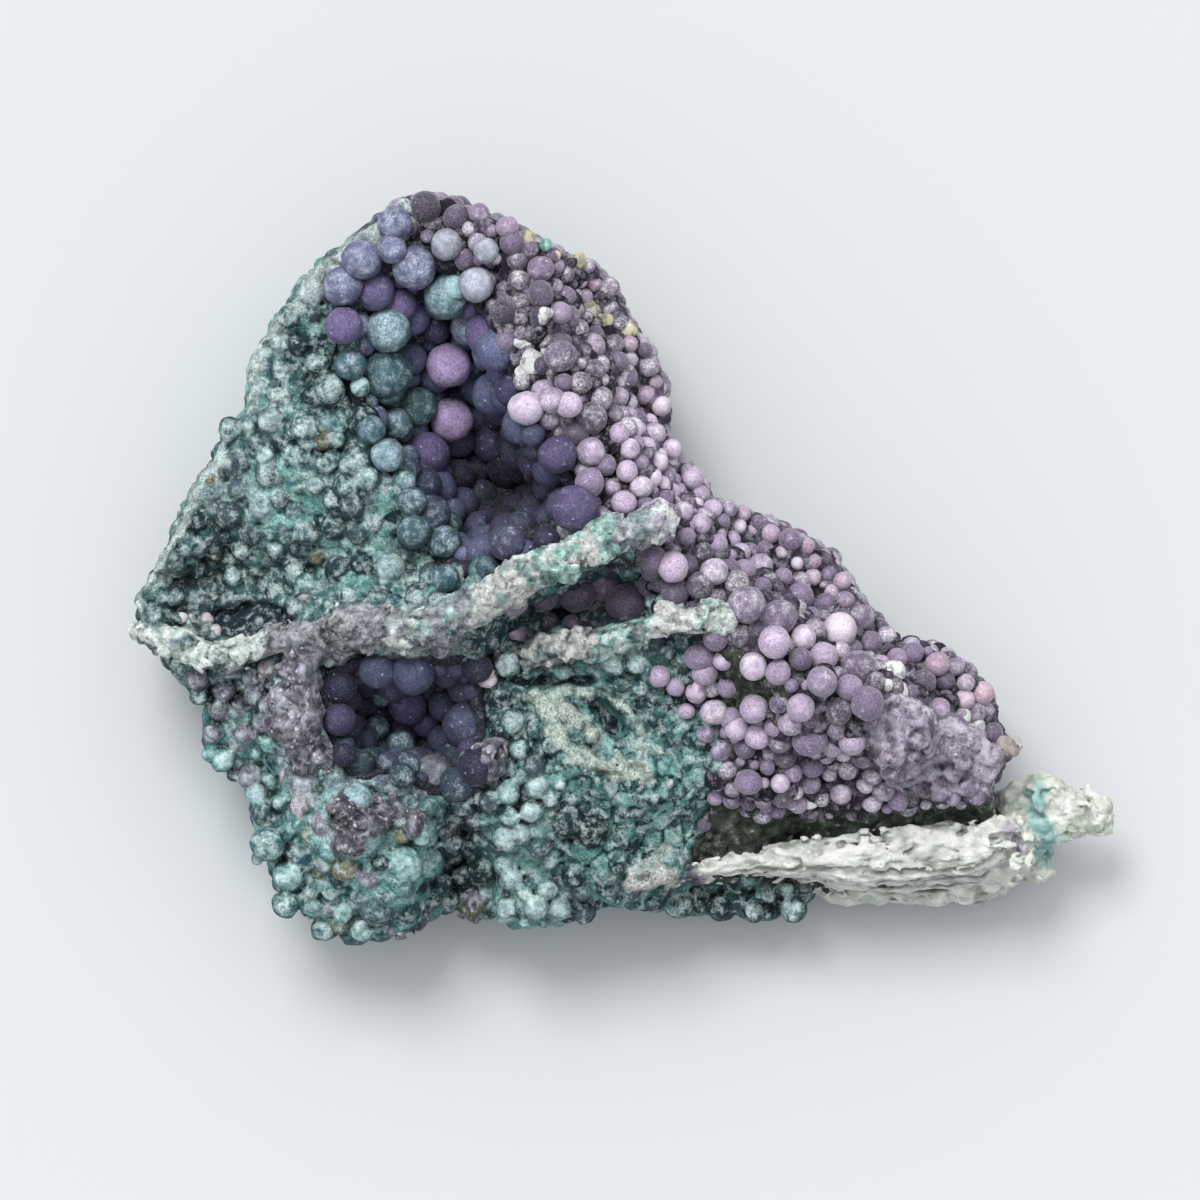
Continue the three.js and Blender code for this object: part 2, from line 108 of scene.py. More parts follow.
# Heights of the rock's surface in millimetres, at places in the view
SPOT_HEIGHTS = [
    # The crest and the purple shoulder that falls away from it
    (430, 205, 38), (500, 240, 41), (530, 330, 43), (560, 395, 44), (600, 450, 43), (632, 500, 43.5),
    (620, 300, 30), (660, 400, 27), (690, 480, 28), (760, 530, 26), (830, 580, 25), (880, 630, 26),
    # The mound on the right, with the green strip below it
    (665, 545, 40), (700, 590, 39), (760, 640, 42), (800, 690, 43), (860, 700, 42), (900, 730, 40),
    (960, 740, 33), (950, 670, 28), (990, 720, 25), (760, 775, 32), (850, 792, 29), (950, 785, 27),
    (740, 830, 22), (850, 820, 20), (950, 822, 18), (800, 870, 12), (930, 870, 12),
    # The rim of the upper hollow on the left, and the blue-green wall outside it
    (398, 206, 38), (350, 240, 38), (300, 290, 36), (250, 380, 31), (205, 470, 29), (160, 550, 28),
    (140, 600, 25), (300, 400, 33), (330, 470, 33), (380, 480, 32), (400, 560, 30), (300, 520, 30),
    (200, 600, 21), (250, 590, 22), (290, 565, 25), (450, 400, 37), (440, 300, 37),
    # The wall under the long ridge
    (160, 640, 26), (230, 655, 29), (275, 637, 30), (330, 638, 32), (400, 632, 36), (460, 618, 39),
    (500, 590, 41), (535, 567, 43), (572, 554, 44), (610, 532, 44), (648, 522, 44),
    # The gap between the ridges, and the shoulder under the short ridge
    (560, 615, 20), (600, 598, 22), (628, 606, 24), (530, 625, 26), (530, 660, 31), (567, 641, 32),
    (603, 648, 35), (634, 636, 38), (666, 624, 40), (722, 620, 41), (690, 660, 36), (700, 710, 33),
    # The blue-green slab, the trench beside it and the fringe below it
    (560, 760, 34), (640, 780, 33), (600, 840, 29), (660, 850, 25), (520, 800, 29), (540, 895, 23),
    (560, 920, 18), (450, 870, 15), (462, 905, 12), (700, 908, 12), (790, 912, 11),
    # The lower left, around the lower hollow
    (230, 700, 24), (290, 720, 31), (310, 760, 29), (250, 780, 20), (350, 825, 33), (410, 815, 31),
    (380, 870, 30), (300, 880, 23), (350, 920, 21), (330, 938, 15), (400, 720, 33), (500, 720, 30),
]
SPOT_SOFTNESS = 3.0

# The flank under the outline: its reach as a share of the outline's, against height as a share of the edge's
FLANK_HEIGHTS = (0.0, 0.16, 0.42, 0.74, 1.0)
FLANK_REACHES = (0.82, 0.91, 0.975, 1.0, 0.985)

# How each hollow is lined: the grapes' painted brightness, how much painted shade lowers it around the
# deepest place, or, where that value is below zero, raises it there so that the rim is the shaded part, and
# within how many millimetres. Then come the rounds of filling, each with its range of radii in millimetres,
# its tries, the highest lift in radii and the spacing in radii.
UPPER_LINING = {
    "brightness": 1.15, "dimming": 1.0, "dim_within": 10.0,
    "fills": [((2.4, 3.3), 1500, 0.5, 0.84), ((1.6, 2.4), 2000, 0.4, 0.8), ((1.0, 1.5), 1500, 0.4, 0.85)],
}
LOWER_LINING = {
    "brightness": 0.5, "dimming": -1.2, "dim_within": 6.0,
    "fills": [((2.1, 3.0), 1500, 0.8, 0.84), ((1.4, 2.0), 2000, 0.6, 0.8), ((0.9, 1.3), 1500, 0.5, 0.85)],
}
UPPER_HOLLOW = {
    "deepest": (506, 488), "floor": 9.0, "curve": 1.6,
    "rim": [
        (420, 236), (455, 258), (482, 296), (502, 335), (517, 372), (532, 412), (550, 442), (572, 468),
        (592, 500), (586, 520), (556, 535), (520, 550), (490, 566), (462, 582), (440, 568), (420, 536),
        (398, 500), (376, 462), (356, 425), (342, 385), (334, 345), (336, 300), (354, 264), (385, 240),
    ],
}
LOWER_HOLLOW = {
    "deepest": (408, 724), "floor": 8.0, "curve": 2.4,
    "rim": [
        (324, 668), (352, 653), (400, 656), (440, 650), (474, 652), (490, 672), (488, 702), (492, 735),
        (484, 770), (470, 800), (440, 802), (412, 790), (385, 776), (358, 786), (334, 768), (322, 735),
        (318, 700),
    ],
}

# Grapes read off the view: x, y and radius in pixels, how far the middle stands out in radii, and for the
# hollows the name of a colour
UPPER_GRAPES = [
    (389, 331, 23, 1.3, "coated"), (449, 365, 23, 1.4, "pink"), (451, 419, 22, 1.3, "pink"),
    (427, 454, 22, 0.9, "violet"), (496, 394, 24, 1.0, "navy"), (492, 441, 21, 0.7, "violet"),
    (508, 466, 21, 0.5, "deep"), (558, 456, 19, 0.6, "violet"), (534, 436, 12, 0.5, "navy"),
    (469, 328, 18, 0.8, "haze"), (488, 352, 16, 0.6, "haze"), (447, 299, 22, 1.3, "coated"),
    (456, 289, 13, 1.6, "mint"), (477, 287, 18, 0.6, "pale"), (448, 247, 16, 0.5, "pale"),
    (487, 254, 13, 0.3, "pale"), (393, 251, 15, 0.4, "haze"), (415, 270, 22, 0.6, "haze"),
    (396, 226, 17, 0.2, "haze"), (363, 262, 20, 0.2, "haze"), (344, 288, 20, 0.1, "haze"),
    (345, 327, 19, 0.5, "violet"), (400, 306, 18, 0.5, "violet"), (352, 366, 16, 0.5, "teal"),
    (386, 373, 27, 0.7, "teal"), (361, 387, 10, 1.2, "mint"), (417, 406, 20, 0.8, "teal"),
    (397, 424, 16, 0.9, "teal"), (388, 388, 17, 1.2, "coated"), (457, 475, 17, 0.4, "deep"),
    (508, 504, 15, 0.3, "deep"), (481, 529, 18, 0.8, "navy"), (508, 542, 19, 0.8, "haze"),
    (446, 542, 16, 0.7, "teal"), (449, 525, 14, 0.3, "teal"), (415, 532, 17, 0.6, "teal"),
    (413, 502, 15, 0.5, "teal"), (407, 482, 10, 0.9, "coated"), (447, 578, 14, 0.3, "teal"),
    (487, 567, 11, 0.4, "teal"), (575, 509, 23, 0.8, "violet"), (545, 490, 17, 0.3, "deep"),
    (530, 520, 15, 0.4, "violet"), (436, 330, 14, 0.4, "deep"), (372, 430, 15, 0.6, "teal"),
    (388, 456, 17, 0.7, "coated"), (547, 541, 14, 0.6, "deep"), (525, 551, 12, 0.6, "navy"),
]
LOWER_GRAPES = [
    (413, 672, 22, 0.3, "navy"), (447, 672, 16, 0.1, "navy"), (407, 706, 20, 2.2, "violet"),
    (443, 706, 16, 2.4, "navy"), (340, 687, 18, 0.3, "deep"), (364, 682, 15, 0.7, "deep"),
    (346, 727, 17, 0.5, "deep"), (466, 725, 23, 0.6, "navy"), (478, 668, 15, -0.3, "deep"),
    (380, 697, 11, 3.0, "coated"), (376, 728, 13, 2.6, "teal"), (433, 776, 21, 1.0, "pale"),
    (478, 765, 20, 0.1, "deep"), (400, 745, 15, 2.0, "teal"), (370, 760, 14, 0.6, "teal"),
    (345, 755, 12, 0.3, "deep"), (402, 775, 13, 0.4, "teal"), (440, 740, 14, 2.0, "navy"),
    (425, 725, 14, 2.6, "violet"), (385, 675, 13, 0.6, "navy"),
]
SURFACE_GRAPES = {
    "crest": [
        (426, 209, 16, .4), (401, 209, 10, .2), (457, 220, 13, .5), (480, 216, 10.5, .5),
        (508, 230, 12, .6), (512, 244, 13, .4), (541, 271, 13.7, .7), (551, 259, 7, .6), (566, 276, 9, .5),
        (580, 282, 8, .7), (586, 267, 9, .5), (594, 285, 8, .8), (609, 288, 10.5, .7), (541, 296, 13.7, .9),
        (566, 298, 11, .5), (561, 315, 11, 1.1), (541, 318, 10, .7), (503, 314, 13, .7),
        (561, 358, 15.7, 1.0), (593, 347, 12, 1.0), (614, 345, 10, .7), (645, 350, 8, .6),
        (594, 371, 11.5, .4), (618, 362, 11, .7), (628, 377, 11, .9), (655, 382, 8, .6),
        (661, 406, 11, .8), (527, 410, 18, 1.2), (552, 402, 14, 1.4), (569, 407, 13.5, 1.6),
        (591, 419, 16, .5), (600, 400, 13, .5), (614, 415, 10, .6), (619, 435, 10.5, .9),
        (629, 450, 11.5, .8), (591, 453, 14, .8), (654, 434, 12, .7), (646, 447, 10, .5),
        (672, 449, 10.5, .8), (658, 462, 10.5, .6), (640, 464, 9, .5), (627, 472, 11.5, .8),
        (693, 478, 12, .9), (590, 484, 15.7, 1.3), (624, 504, 13, .9), (641, 488, 11.5, .5),
        (662, 486, 10, .7), (664, 500, 9.6, .5), (678, 491, 8.6, .9), (674, 504, 8, .6),
        (682, 512, 10.5, .8), (700, 524, 11, .9), (696, 505, 8, .5), (712, 509, 9.6, .7),
        (729, 509, 8.6, .6), (743, 513, 8, .8), (575, 435, 13, .5), (605, 466, 12, .5),
    ],
    "mound": [
        (739, 526, 8, .8), (753, 530, 7, .6), (759, 524, 9.6, .4), (771, 534, 10.5, .7),
        (790, 540, 12, .7), (717, 545, 11.5, .8), (703, 553, 10.5, .5), (740, 553, 11, 1.0),
        (765, 549, 9.6, .6), (782, 552, 7, .9), (797, 563, 7, .9), (813, 561, 8.6, .6),
        (760, 566, 13, .9), (768, 580, 9, .4), (783, 577, 10, .7), (653, 560, 15, 1.1),
        (672, 567, 16.3, 1.4), (675, 592, 15, .7), (714, 572, 14.4, .8), (700, 586, 14, .7),
        (736, 583, 13, .7), (746, 605, 20, .6), (778, 617, 18, .6), (762, 586, 9, .8),
        (799, 596, 13.8, 1.0), (826, 603, 10.5, .5), (845, 601, 10.5, .5), (813, 577, 9, .7),
        (842, 581, 9, .8), (832, 592, 8, .9), (839, 630, 18, 1.2), (862, 617, 12.4, .6),
        (773, 642, 16.3, 1.3), (802, 637, 13, 1.2), (822, 656, 14.3, .8), (799, 659, 12.4, .8),
        (752, 666, 14.3, 1.1), (777, 672, 13.4, .9), (715, 638, 13.4, .9), (699, 657, 15, .9),
        (704, 672, 13, .7), (722, 660, 10.5, .7), (711, 688, 10.5, .4), (727, 687, 11, .4),
        (754, 708, 15.5, .8), (714, 712, 14, .8), (730, 718, 11.5, .7), (736, 728, 12, 1.0),
        (757, 736, 13, 1.0), (745, 748, 10.5, .6), (779, 740, 12.5, .7), (809, 740, 16.8, 1.0),
        (659, 676, 11.5, .7), (675, 686, 9.6, .7), (696, 692, 10.5, 1.0), (686, 711, 8.6, .7),
        (870, 643, 13.4, .7), (887, 636, 9.6, .6), (912, 653, 11.5, .6), (897, 659, 11.5, .8),
        (937, 664, 13, .9), (857, 668, 19, .5), (880, 664, 10, .8), (820, 681, 16, 1.4),
        (848, 687, 14.3, .7), (866, 703, 16.8, .9), (874, 681, 10.5, .6), (837, 710, 13.8, .6),
        (799, 707, 15.3, .8), (790, 722, 13, .5), (922, 683, 14.3, .4), (945, 681, 9.6, .6),
        (966, 683, 9.6, .7), (983, 693, 12, .6), (993, 733, 10.5, .7), (851, 741, 14, 1.0),
        (843, 754, 8, 1.0), (848, 769, 11, .8), (727, 769, 10, .6), (720, 750, 11.5, .4),
        (748, 782, 13.4, .9), (767, 767, 8, .9), (780, 783, 10, .7), (793, 773, 9, .7),
        (812, 767, 10.5, .8), (810, 784, 10.5, .6), (872, 775, 11, .8), (891, 769, 13, .9),
        (841, 794, 11, .5), (791, 802, 7, .6), (812, 804, 6, .6),
    ],
    "gap": [
        (603, 584, 17, .8), (628, 604, 23, 1.1), (576, 593, 20, .6), (596, 608, 12, .6),
        (514, 600, 16, .5), (549, 622, 10, .7), (516, 634, 10.5, .8), (571, 625, 10, .8),
        (545, 596, 15, .4), (650, 585, 13, .4),
    ],
}
# Grapes and domes of the blue-green parts: x, y and radius in pixels, how far the middle stands out
# in radii, and the name of a colour below
WALL_DOMES = [
    (231, 429, 12, .4, "teal"), (272, 420, 14, .3, "white"), (306, 429, 15, .3, "teal"),
    (307, 444, 9, .8, "teal"), (324, 441, 10, .6, "ochre"), (338, 440, 9.5, .8, "mint"),
    (356, 463, 17, .6, "teal"), (368, 478, 13.5, 1.0, "mint"), (330, 389, 17, .5, "teal"),
    (362, 388, 10, .9, "mint"), (364, 421, 17, .4, "dark"), (283, 441, 11, .0, "dark"),
    (266, 455, 10, .4, "white"), (295, 456, 10, .3, "mint"), (329, 463, 10, .3, "teal"),
    (316, 486, 10, .5, "white"), (300, 489, 6, .4, "teal"), (332, 502, 9, .4, "teal"),
    (353, 505, 14, .4, "grey"), (347, 487, 14, .3, "teal"), (371, 501, 7.6, .7, "grey"),
    (382, 481, 10.7, .3, "teal"), (404, 481, 12, .5, "mint"), (414, 502, 13.5, .6, "mint"),
    (414, 533, 17, .6, "dark"), (359, 533, 12, .2, "grey"), (335, 527, 14, .2, "dark"),
    (286, 536, 10, .6, "grey"), (252, 533, 12, .4, "grey"), (228, 514, 15, .3, "grey"),
    (241, 551, 10, .8, "teal"), (276, 551, 10, .4, "teal"), (232, 576, 10, .5, "mint"),
    (254, 570, 8, .3, "teal"), (307, 585, 13, .5, "mint"), (276, 591, 11, .3, "teal"),
    (293, 568, 10, .2, "teal"), (316, 557, 9, .3, "ochre"), (338, 570, 14, .2, "dark"),
    (390, 568, 16, .4, "white"), (362, 563, 12, .1, "dark"), (215, 554, 8, .3, "moss"),
    (290, 318, 11, .4, "teal"), (300, 345, 12, .4, "dark"), (283, 372, 11, .3, "teal"),
    (318, 362, 13, .5, "teal"), (262, 388, 9, .3, "mint"), (312, 398, 10, .3, "dark"),
    (350, 345, 12, .4, "grey"), (265, 350, 8, .4, "white"), (186, 548, 8, .3, "mint"),
    (172, 596, 13, .3, "grey"), (195, 570, 9, .2, "dark"), (212, 590, 8, .3, "teal"),
    (440, 545, 13, .3, "dark"), (425, 562, 9, .4, "mint"), (456, 574, 11, .3, "teal"),
    (350, 595, 9, .4, "teal"), (376, 600, 9, .3, "grey"), (330, 606, 8, .3, "teal"),
]
LOWER_DOMES = [
    (197, 678, 12, .7, "lilac"), (224, 689, 13, .9, "ash"), (219, 709, 11.5, .7, "ash"),
    (239, 705, 10, .8, "ash"), (199, 696, 10, .5, "teal"), (211, 734, 9, .6, "ash"),
    (222, 760, 13, .8, "mint"), (210, 755, 9, .6, "mint"), (243, 733, 9, .9, "lilac"),
    (235, 746, 6, 1.0, "pale"), (254, 733, 8, .7, "ash"), (257, 753, 8.6, .9, "mint"),
    (250, 775, 14, .7, "ash"), (256, 794, 11, .8, "white"), (272, 782, 9, .7, "mint"),
    (287, 777, 8, 1.0, "pale"), (304, 787, 13, .7, "ash"), (280, 802, 9, 1.1, "mint"),
    (301, 806, 10.5, 1.2, "pale"), (315, 802, 9.5, .8, "ash"), (307, 798, 4, 1.6, "pale"),
    (268, 844, 18, .7, "teal"), (256, 859, 6.5, .7, "mint"), (294, 853, 11, .7, "grey"),
    (305, 861, 12, .8, "dark"), (288, 876, 16, .6, "mint"), (285, 905, 14, .6, "teal"),
    (317, 872, 7, .8, "ochre"), (323, 930, 14, .6, "teal"), (340, 926, 10, .6, "moss"),
    (361, 931, 12, .6, "mint"), (361, 895, 12, .7, "grey"), (376, 910, 17, .6, "grey"),
    (383, 897, 8, 1.0, "grey"), (342, 914, 11, .6, "mint"), (418, 886, 9, .8, "black"),
    (405, 863, 19, .5, "mint"), (380, 863, 8.5, .9, "black"), (421, 837, 10, .8, "mint"),
    (451, 841, 13, .9, "white"), (426, 862, 17, .7, "mint"), (401, 836, 8, .6, "ochre"),
    (440, 886, 12, .5, "dark"), (430, 900, 11, .4, "dark"), (408, 912, 13, .5, "dark"),
    (345, 867, 14, .4, "ochre"), (330, 850, 11, .6, "mint"), (310, 832, 9, .7, "ochre"),
    (292, 826, 9, .5, "mint"), (310, 890, 9, .4, "teal"), (330, 893, 10, .4, "teal"),
    (252, 676, 10, .8, "ash"), (268, 668, 10, .9, "pale"), (281, 683, 9, .9, "teal"),
    (296, 684, 9, .8, "teal"), (268, 705, 10, .6, "ash"), (262, 722, 10, .6, "ash"),
    (232, 774, 8, .4, "dark"), (264, 815, 12, .2, "dark"), (290, 636, 11.5, 1.1, "pale"),
    (188, 655, 9, .5, "ash"), (165, 640, 12, .4, "pale"), (176, 664, 8, .4, "teal"),
]
CENTRE_DOMES = [
    (490, 801, 12, .8, "grey"), (509, 792, 13, 1.0, "mint"), (538, 786, 13, 1.0, "white"),
    (532, 811, 12, 1.0, "white"), (510, 817, 10, .9, "mint"), (550, 798, 10, .6, "teal"),
    (568, 821, 16, .5, "dark"), (590, 830, 17, .3, "black"), (630, 847, 9, .2, "black"),
    (506, 838, 13, .9, "white"), (501, 846, 7, 1.3, "moss"), (521, 834, 11, .9, "white"),
    (539, 846, 13, .6, "grey"), (549, 860, 10, .8, "white"), (481, 869, 15, .8, "dark"),
    (506, 866, 13, .7, "teal"), (512, 881, 11, 1.0, "white"), (547, 890, 10.7, 1.1, "white"),
    (524, 893, 8, 1.0, "mint"), (535, 907, 13, .9, "white"), (559, 907, 14, .9, "white"),
    (575, 875, 14, .4, "dark"), (582, 890, 12, .4, "grey"), (584, 914, 12, .5, "grey"),
    (474, 910, 14, .7, "moss"), (506, 909, 10.7, .8, "white"), (486, 896, 9, .6, "mint"),
    (466, 800, 14, .2, "navy"), (470, 821, 12, .2, "navy"), (455, 880, 12, .1, "navy"),
    (452, 858, 11, .2, "navy"), (507, 663, 14, .9, "white"), (513, 721, 14, .8, "mint"),
    (520, 749, 11, .8, "mint"), (500, 700, 12, .1, "navy"), (502, 735, 11, .3, "navy"),
    (536, 765, 12, .3, "grey"), (520, 775, 10, .3, "teal"), (552, 745, 10, .1, "teal"),
    (591, 735, 9, .5, "grey"), (536, 648, 12, .2, "mint"), (560, 640, 15, .2, "mint"),
    (613, 662, 14, .4, "mint"), (638, 662, 13, .3, "teal"), (612, 645, 10, .3, "white"),
    (650, 675, 11, .3, "grey"), (575, 660, 10, .1, "dark"), (608, 885, 12, .3, "dark"),
    (630, 893, 10, .3, "grey"), (679, 905, 16, .5, "teal"), (720, 908, 13, .3, "dark"),
    (755, 915, 11, .3, "teal"), (795, 912, 14, .7, "teal"), (655, 900, 12, .2, "dark"),
]
DOME_COLOURS = {
    "teal": srgb(62, 100, 106), "mint": srgb(98, 146, 148), "white": srgb(140, 170, 178),
    "grey": srgb(84, 106, 116), "ash": srgb(136, 134, 150), "dark": srgb(40, 68, 76),
    "black": srgb(28, 40, 46), "navy": srgb(40, 50, 72), "ochre": srgb(124, 122, 98),
    "moss": srgb(96, 100, 80), "lilac": srgb(138, 128, 148), "pale": srgb(190, 176, 188),
    "ground": srgb(42, 35, 52), "shade": srgb(26, 22, 34), "violet": srgb(74, 62, 90),
    "moss_dark": srgb(44, 52, 40),
}

# Lines over the blue-green rock: colour, rise in millimetres, half width in pixels, places in the view
VEINS = [
    (
        VEIN_WHITE, 1.1, 8,
        [(536, 698), (548, 716), (560, 737), (578, 755), (596, 764), (620, 767), (644, 770)],
    ),
    (VEIN_WHITE, 1.0, 7, [(540, 698), (556, 703), (572, 714), (585, 724), (596, 732)]),
    (WHITE_MINT, 0.8, 4, [(538, 696), (562, 691), (592, 691)]),
    (WHITE_MINT, 1.2, 4, [(601, 693), (620, 703), (638, 720), (641, 730)]),
    (WHITE_MINT, 0.5, 3, [(632, 748), (648, 745), (662, 752)]),
    (CREAM, 0.5, 7, [(522, 654), (545, 658), (566, 652)]),
    (EDGE_WHITE, 0.6, 8, [(404, 212), (378, 233), (354, 252), (322, 279), (300, 305)]),
    (EDGE_WHITE, 0.6, 5, [(276, 325), (257, 354), (250, 385), (252, 408)]),
    (EDGE_WHITE, 0.6, 6, [(226, 440), (205, 478), (177, 528), (157, 566), (134, 596), (140, 622)]),
    (OCHRE, 0.2, 3, [(213, 478), (207, 490)]),
    (WHITE_MINT, 0.4, 3, [(628, 872), (648, 862), (664, 850), (676, 838)]),
    (CREAM, 1.2, 8, [(634, 882), (652, 879), (672, 878)]),
]
# Sunken places, with how many millimetres they go down
PITS = [
    (3.5, [(583, 699), (600, 696), (623, 713), (630, 731), (624, 743), (608, 736), (594, 720)]),
    (2.0, [(504, 680), (530, 673), (562, 677), (592, 672), (602, 680), (590, 687), (560, 685), (524, 689)]),
    (3.0, [(205, 606), (262, 600), (300, 612), (292, 628), (262, 632), (236, 640), (215, 636)]),
    (4.0, [(462, 812), (474, 830), (468, 862), (458, 902), (446, 902), (450, 866), (456, 836)]),
    (3.0, [(628, 838), (638, 840), (640, 854), (628, 856)]),
]
OCHRE_SPOTS = [
    (548, 702, 4), (565, 713, 3), (640, 765, 5), (345, 867, 14), (402, 838, 6), (316, 551, 4), (306, 597, 4),
    (540, 660, 7), (633, 672, 4), (318, 540, 4), (600, 770, 6), (310, 840, 8), (330, 925, 6), (625, 690, 4),
]

# Ridges: x, y and radius in pixels, height in millimetres
LONG_RIDGE = [
    (140, 630, 9, 27), (160, 640, 14, 30), (184, 648, 15, 31), (208, 655, 15, 32), (236, 653, 15, 33),
    (262, 643, 12, 33), (290, 637, 12, 33), (320, 638, 17, 35), (357, 627, 20, 38), (400, 630, 20, 40),
    (442, 623, 19, 42), (472, 611, 18, 43), (493, 595, 18, 44), (530, 572, 19, 46), (568, 557, 20, 47),
    (600, 542, 20, 47.5), (632, 532, 18, 48), (660, 520, 13, 48),
]
SHORT_RIDGE = [
    (528, 662, 12, 33), (567, 643, 15, 35), (603, 647, 15, 38), (634, 633, 14, 40),
    (667, 621, 13, 43), (698, 613, 14, 44), (724, 620, 10, 43),
]
DRUSE_COLUMN = [(304, 648, 15, 34), (296, 684, 17, 33), (294, 716, 24, 33), (306, 758, 15, 30)]

# The ledge: x, back edge and front edge of its flat-lying layers, in pixels, from left to right
LEDGE_STATIONS_PX = [
    (632, 878, 885), (670, 872, 888), (703, 862, 892), (734, 851, 896), (762, 849, 895), (791, 846, 890),
    (815, 838, 898), (840, 836, 911), (876, 833, 905), (922, 829, 908), (955, 826, 911), (982, 824, 908),
    (1005, 823, 898), (1022, 824, 893), (1036, 846, 882),
]
# Its spur's lumps and the round lobes below it: x, y and radius in pixels, height in millimetres
SPUR_LUMPS = [
    (1016, 806, 19, 16), (1045, 792, 22, 17), (1044, 826, 24, 15), (1074, 818, 24, 15), (1096, 817, 16, 14),
    (1012, 852, 30, 14), (1036, 866, 18, 11), (1004, 880, 15, 10), (1062, 806, 14, 17), (1100, 806, 8, 15),
]
LEDGE_LOBES = [
    (852, 891, 15, 11), (882, 894, 14, 10), (910, 893, 15, 10), (940, 895, 15, 10), (968, 890, 16, 11),
    (995, 880, 16, 12), (835, 897, 10, 10), (1012, 868, 20, 14), (1016, 848, 20, 16),
]
# Lines in the view: the turquoise band and the lilac rim on the spur, and the stain at the ledge's left tip
BAND_LINE = [(1040, 792), (1036, 812), (1048, 830), (1050, 862)]
RIM_LINE = [(1012, 826), (1020, 850)]
STAIN_LINE = [(644, 880), (684, 872), (696, 884)]

# What each skin covers, with the slab, the druse and the green places in them
WALL_REGION = [
    (405, 190), (340, 230), (285, 290), (238, 365), (212, 430), (192, 475), (165, 520), (118, 600),
    (130, 650), (165, 692), (215, 690), (262, 668), (300, 660), (330, 655), (400, 645), (450, 630),
    (482, 606), (510, 575), (480, 560), (450, 560), (430, 530), (410, 500), (386, 462), (366, 425),
    (352, 385), (344, 345), (346, 300), (364, 264), (400, 235),
]
LOWER_REGION = [
    (150, 648), (262, 652), (300, 646), (330, 642), (400, 638), (478, 622), (486, 660), (484, 800),
    (472, 830), (458, 930), (420, 942), (345, 958), (308, 942), (270, 916), (256, 876), (242, 840),
    (240, 812), (222, 780), (194, 762), (194, 712), (165, 692),
]
CENTRE_REGION = [
    (466, 640), (466, 612), (500, 584), (560, 556), (645, 530), (655, 600), (738, 612), (738, 634),
    (702, 652), (692, 690), (718, 740), (724, 800), (692, 850), (692, 876), (812, 880), (818, 932),
    (720, 934), (600, 920), (560, 938), (448, 924), (444, 900), (460, 830), (474, 790), (478, 740),
]
CREST_REGION = [
    (392, 190), (430, 182), (520, 213), (600, 260), (634, 285), (636, 312), (664, 348), (680, 392),
    (676, 424), (694, 458), (718, 478), (724, 506), (668, 522), (640, 534), (590, 546), (545, 560),
    (560, 530), (580, 506), (560, 470), (538, 442), (520, 412), (505, 372), (490, 335), (470, 296),
    (445, 262), (412, 240), (398, 218),
]
MOUND_REGION = [
    (640, 523), (668, 512), (712, 493), (750, 503), (800, 520), (844, 546), (870, 590), (907, 630),
    (955, 642), (994, 674), (1017, 736), (1024, 752), (1002, 790), (1016, 830), (1000, 887), (930, 907),
    (864, 902), (812, 884), (800, 880), (696, 876), (692, 850), (714, 800), (708, 740), (684, 690),
    (692, 650), (728, 630), (728, 615), (652, 606), (640, 560),
]
# The line along the druse's crest that is painted white-lilac, partly pale frost and partly a painted
# highlight
DRUSE_FROST_AND_HIGHLIGHT_LINE = [(878, 676), (905, 690), (932, 708), (962, 722), (985, 748), (990, 770)]
DRUSE_ZONE = [
    (868, 735), (878, 706), (895, 690), (925, 706), (975, 722), (1004, 748), (988, 792), (930, 802),
    (884, 786),
]
SLAB = [
    (528, 696), (560, 690), (640, 690), (690, 690), (716, 790), (700, 846), (640, 868), (600, 868),
    (560, 862), (556, 790), (530, 730),
]
MOSS_PATCH = [(690, 662), (722, 650), (760, 652), (792, 668), (788, 690), (752, 702), (728, 716), (704, 700)]
MOSS_STRIP = [
    (716, 800), (760, 814), (812, 818), (860, 814), (900, 808), (960, 806), (990, 800), (1010, 826),
    (1000, 880), (900, 905), (810, 890), (690, 880), (692, 850), (704, 826),
]


def place(px, py):
    """Millimetres right and up the view of a pixel of the photograph."""
    return (px - MIDDLE_PX[0]) * MM_PER_PX, (MIDDLE_PX[1] - py) * MM_PER_PX


def places(pixels):
    return np.array([place(px, py) for px, py in pixels])


# Noise

NOISE_SIZE = 32
NOISE_TABLE = np.random.default_rng(7).random((NOISE_SIZE,) * 3).astype(np.float32) * 2 - 1


def noise(x, y, z, size, seed=0):
    """Smooth noise between -1 and 1 with lumps of about the given size in millimetres."""
    shift = 11.7 * seed
    cells = [value / size + shift + 0.37 * axis for axis, value in enumerate((x, y, z))]
    corners = [np.floor(cell).astype(np.int32) for cell in cells]
    part = [cell - corner for cell, corner in zip(cells, corners)]
    part = [(p * p * (3 - 2 * p)).astype(np.float32) for p in part]
    low = [corner & (NOISE_SIZE - 1) for corner in corners]
    high = [(corner + 1) & (NOISE_SIZE - 1) for corner in low]
    total = 0
    for i in (0, 1):
        wx = part[0] if i else 1 - part[0]
        for j in (0, 1):
            wy = part[1] if j else 1 - part[1]
            for k in (0, 1):
                wz = part[2] if k else 1 - part[2]
                at = (high if i else low)[0], (high if j else low)[1], (high if k else low)[2]
                total = total + wx * wy * wz * NOISE_TABLE[at]
    return total


def rough(x, y, z, size, octaves=3, seed=0):
    """Noise of several sizes together, each half of the one before."""
    total = 0
    for octave in range(octaves):
        total = total + noise(x, y, z, size / 2 ** octave, seed + octave) / 2 ** octave
    return total


# The rock's form as fields over the view

MAP_STEP = 0.5
MAP_LOW = (-80.0, -62.0)
MAP_SIZE = (321, 249)


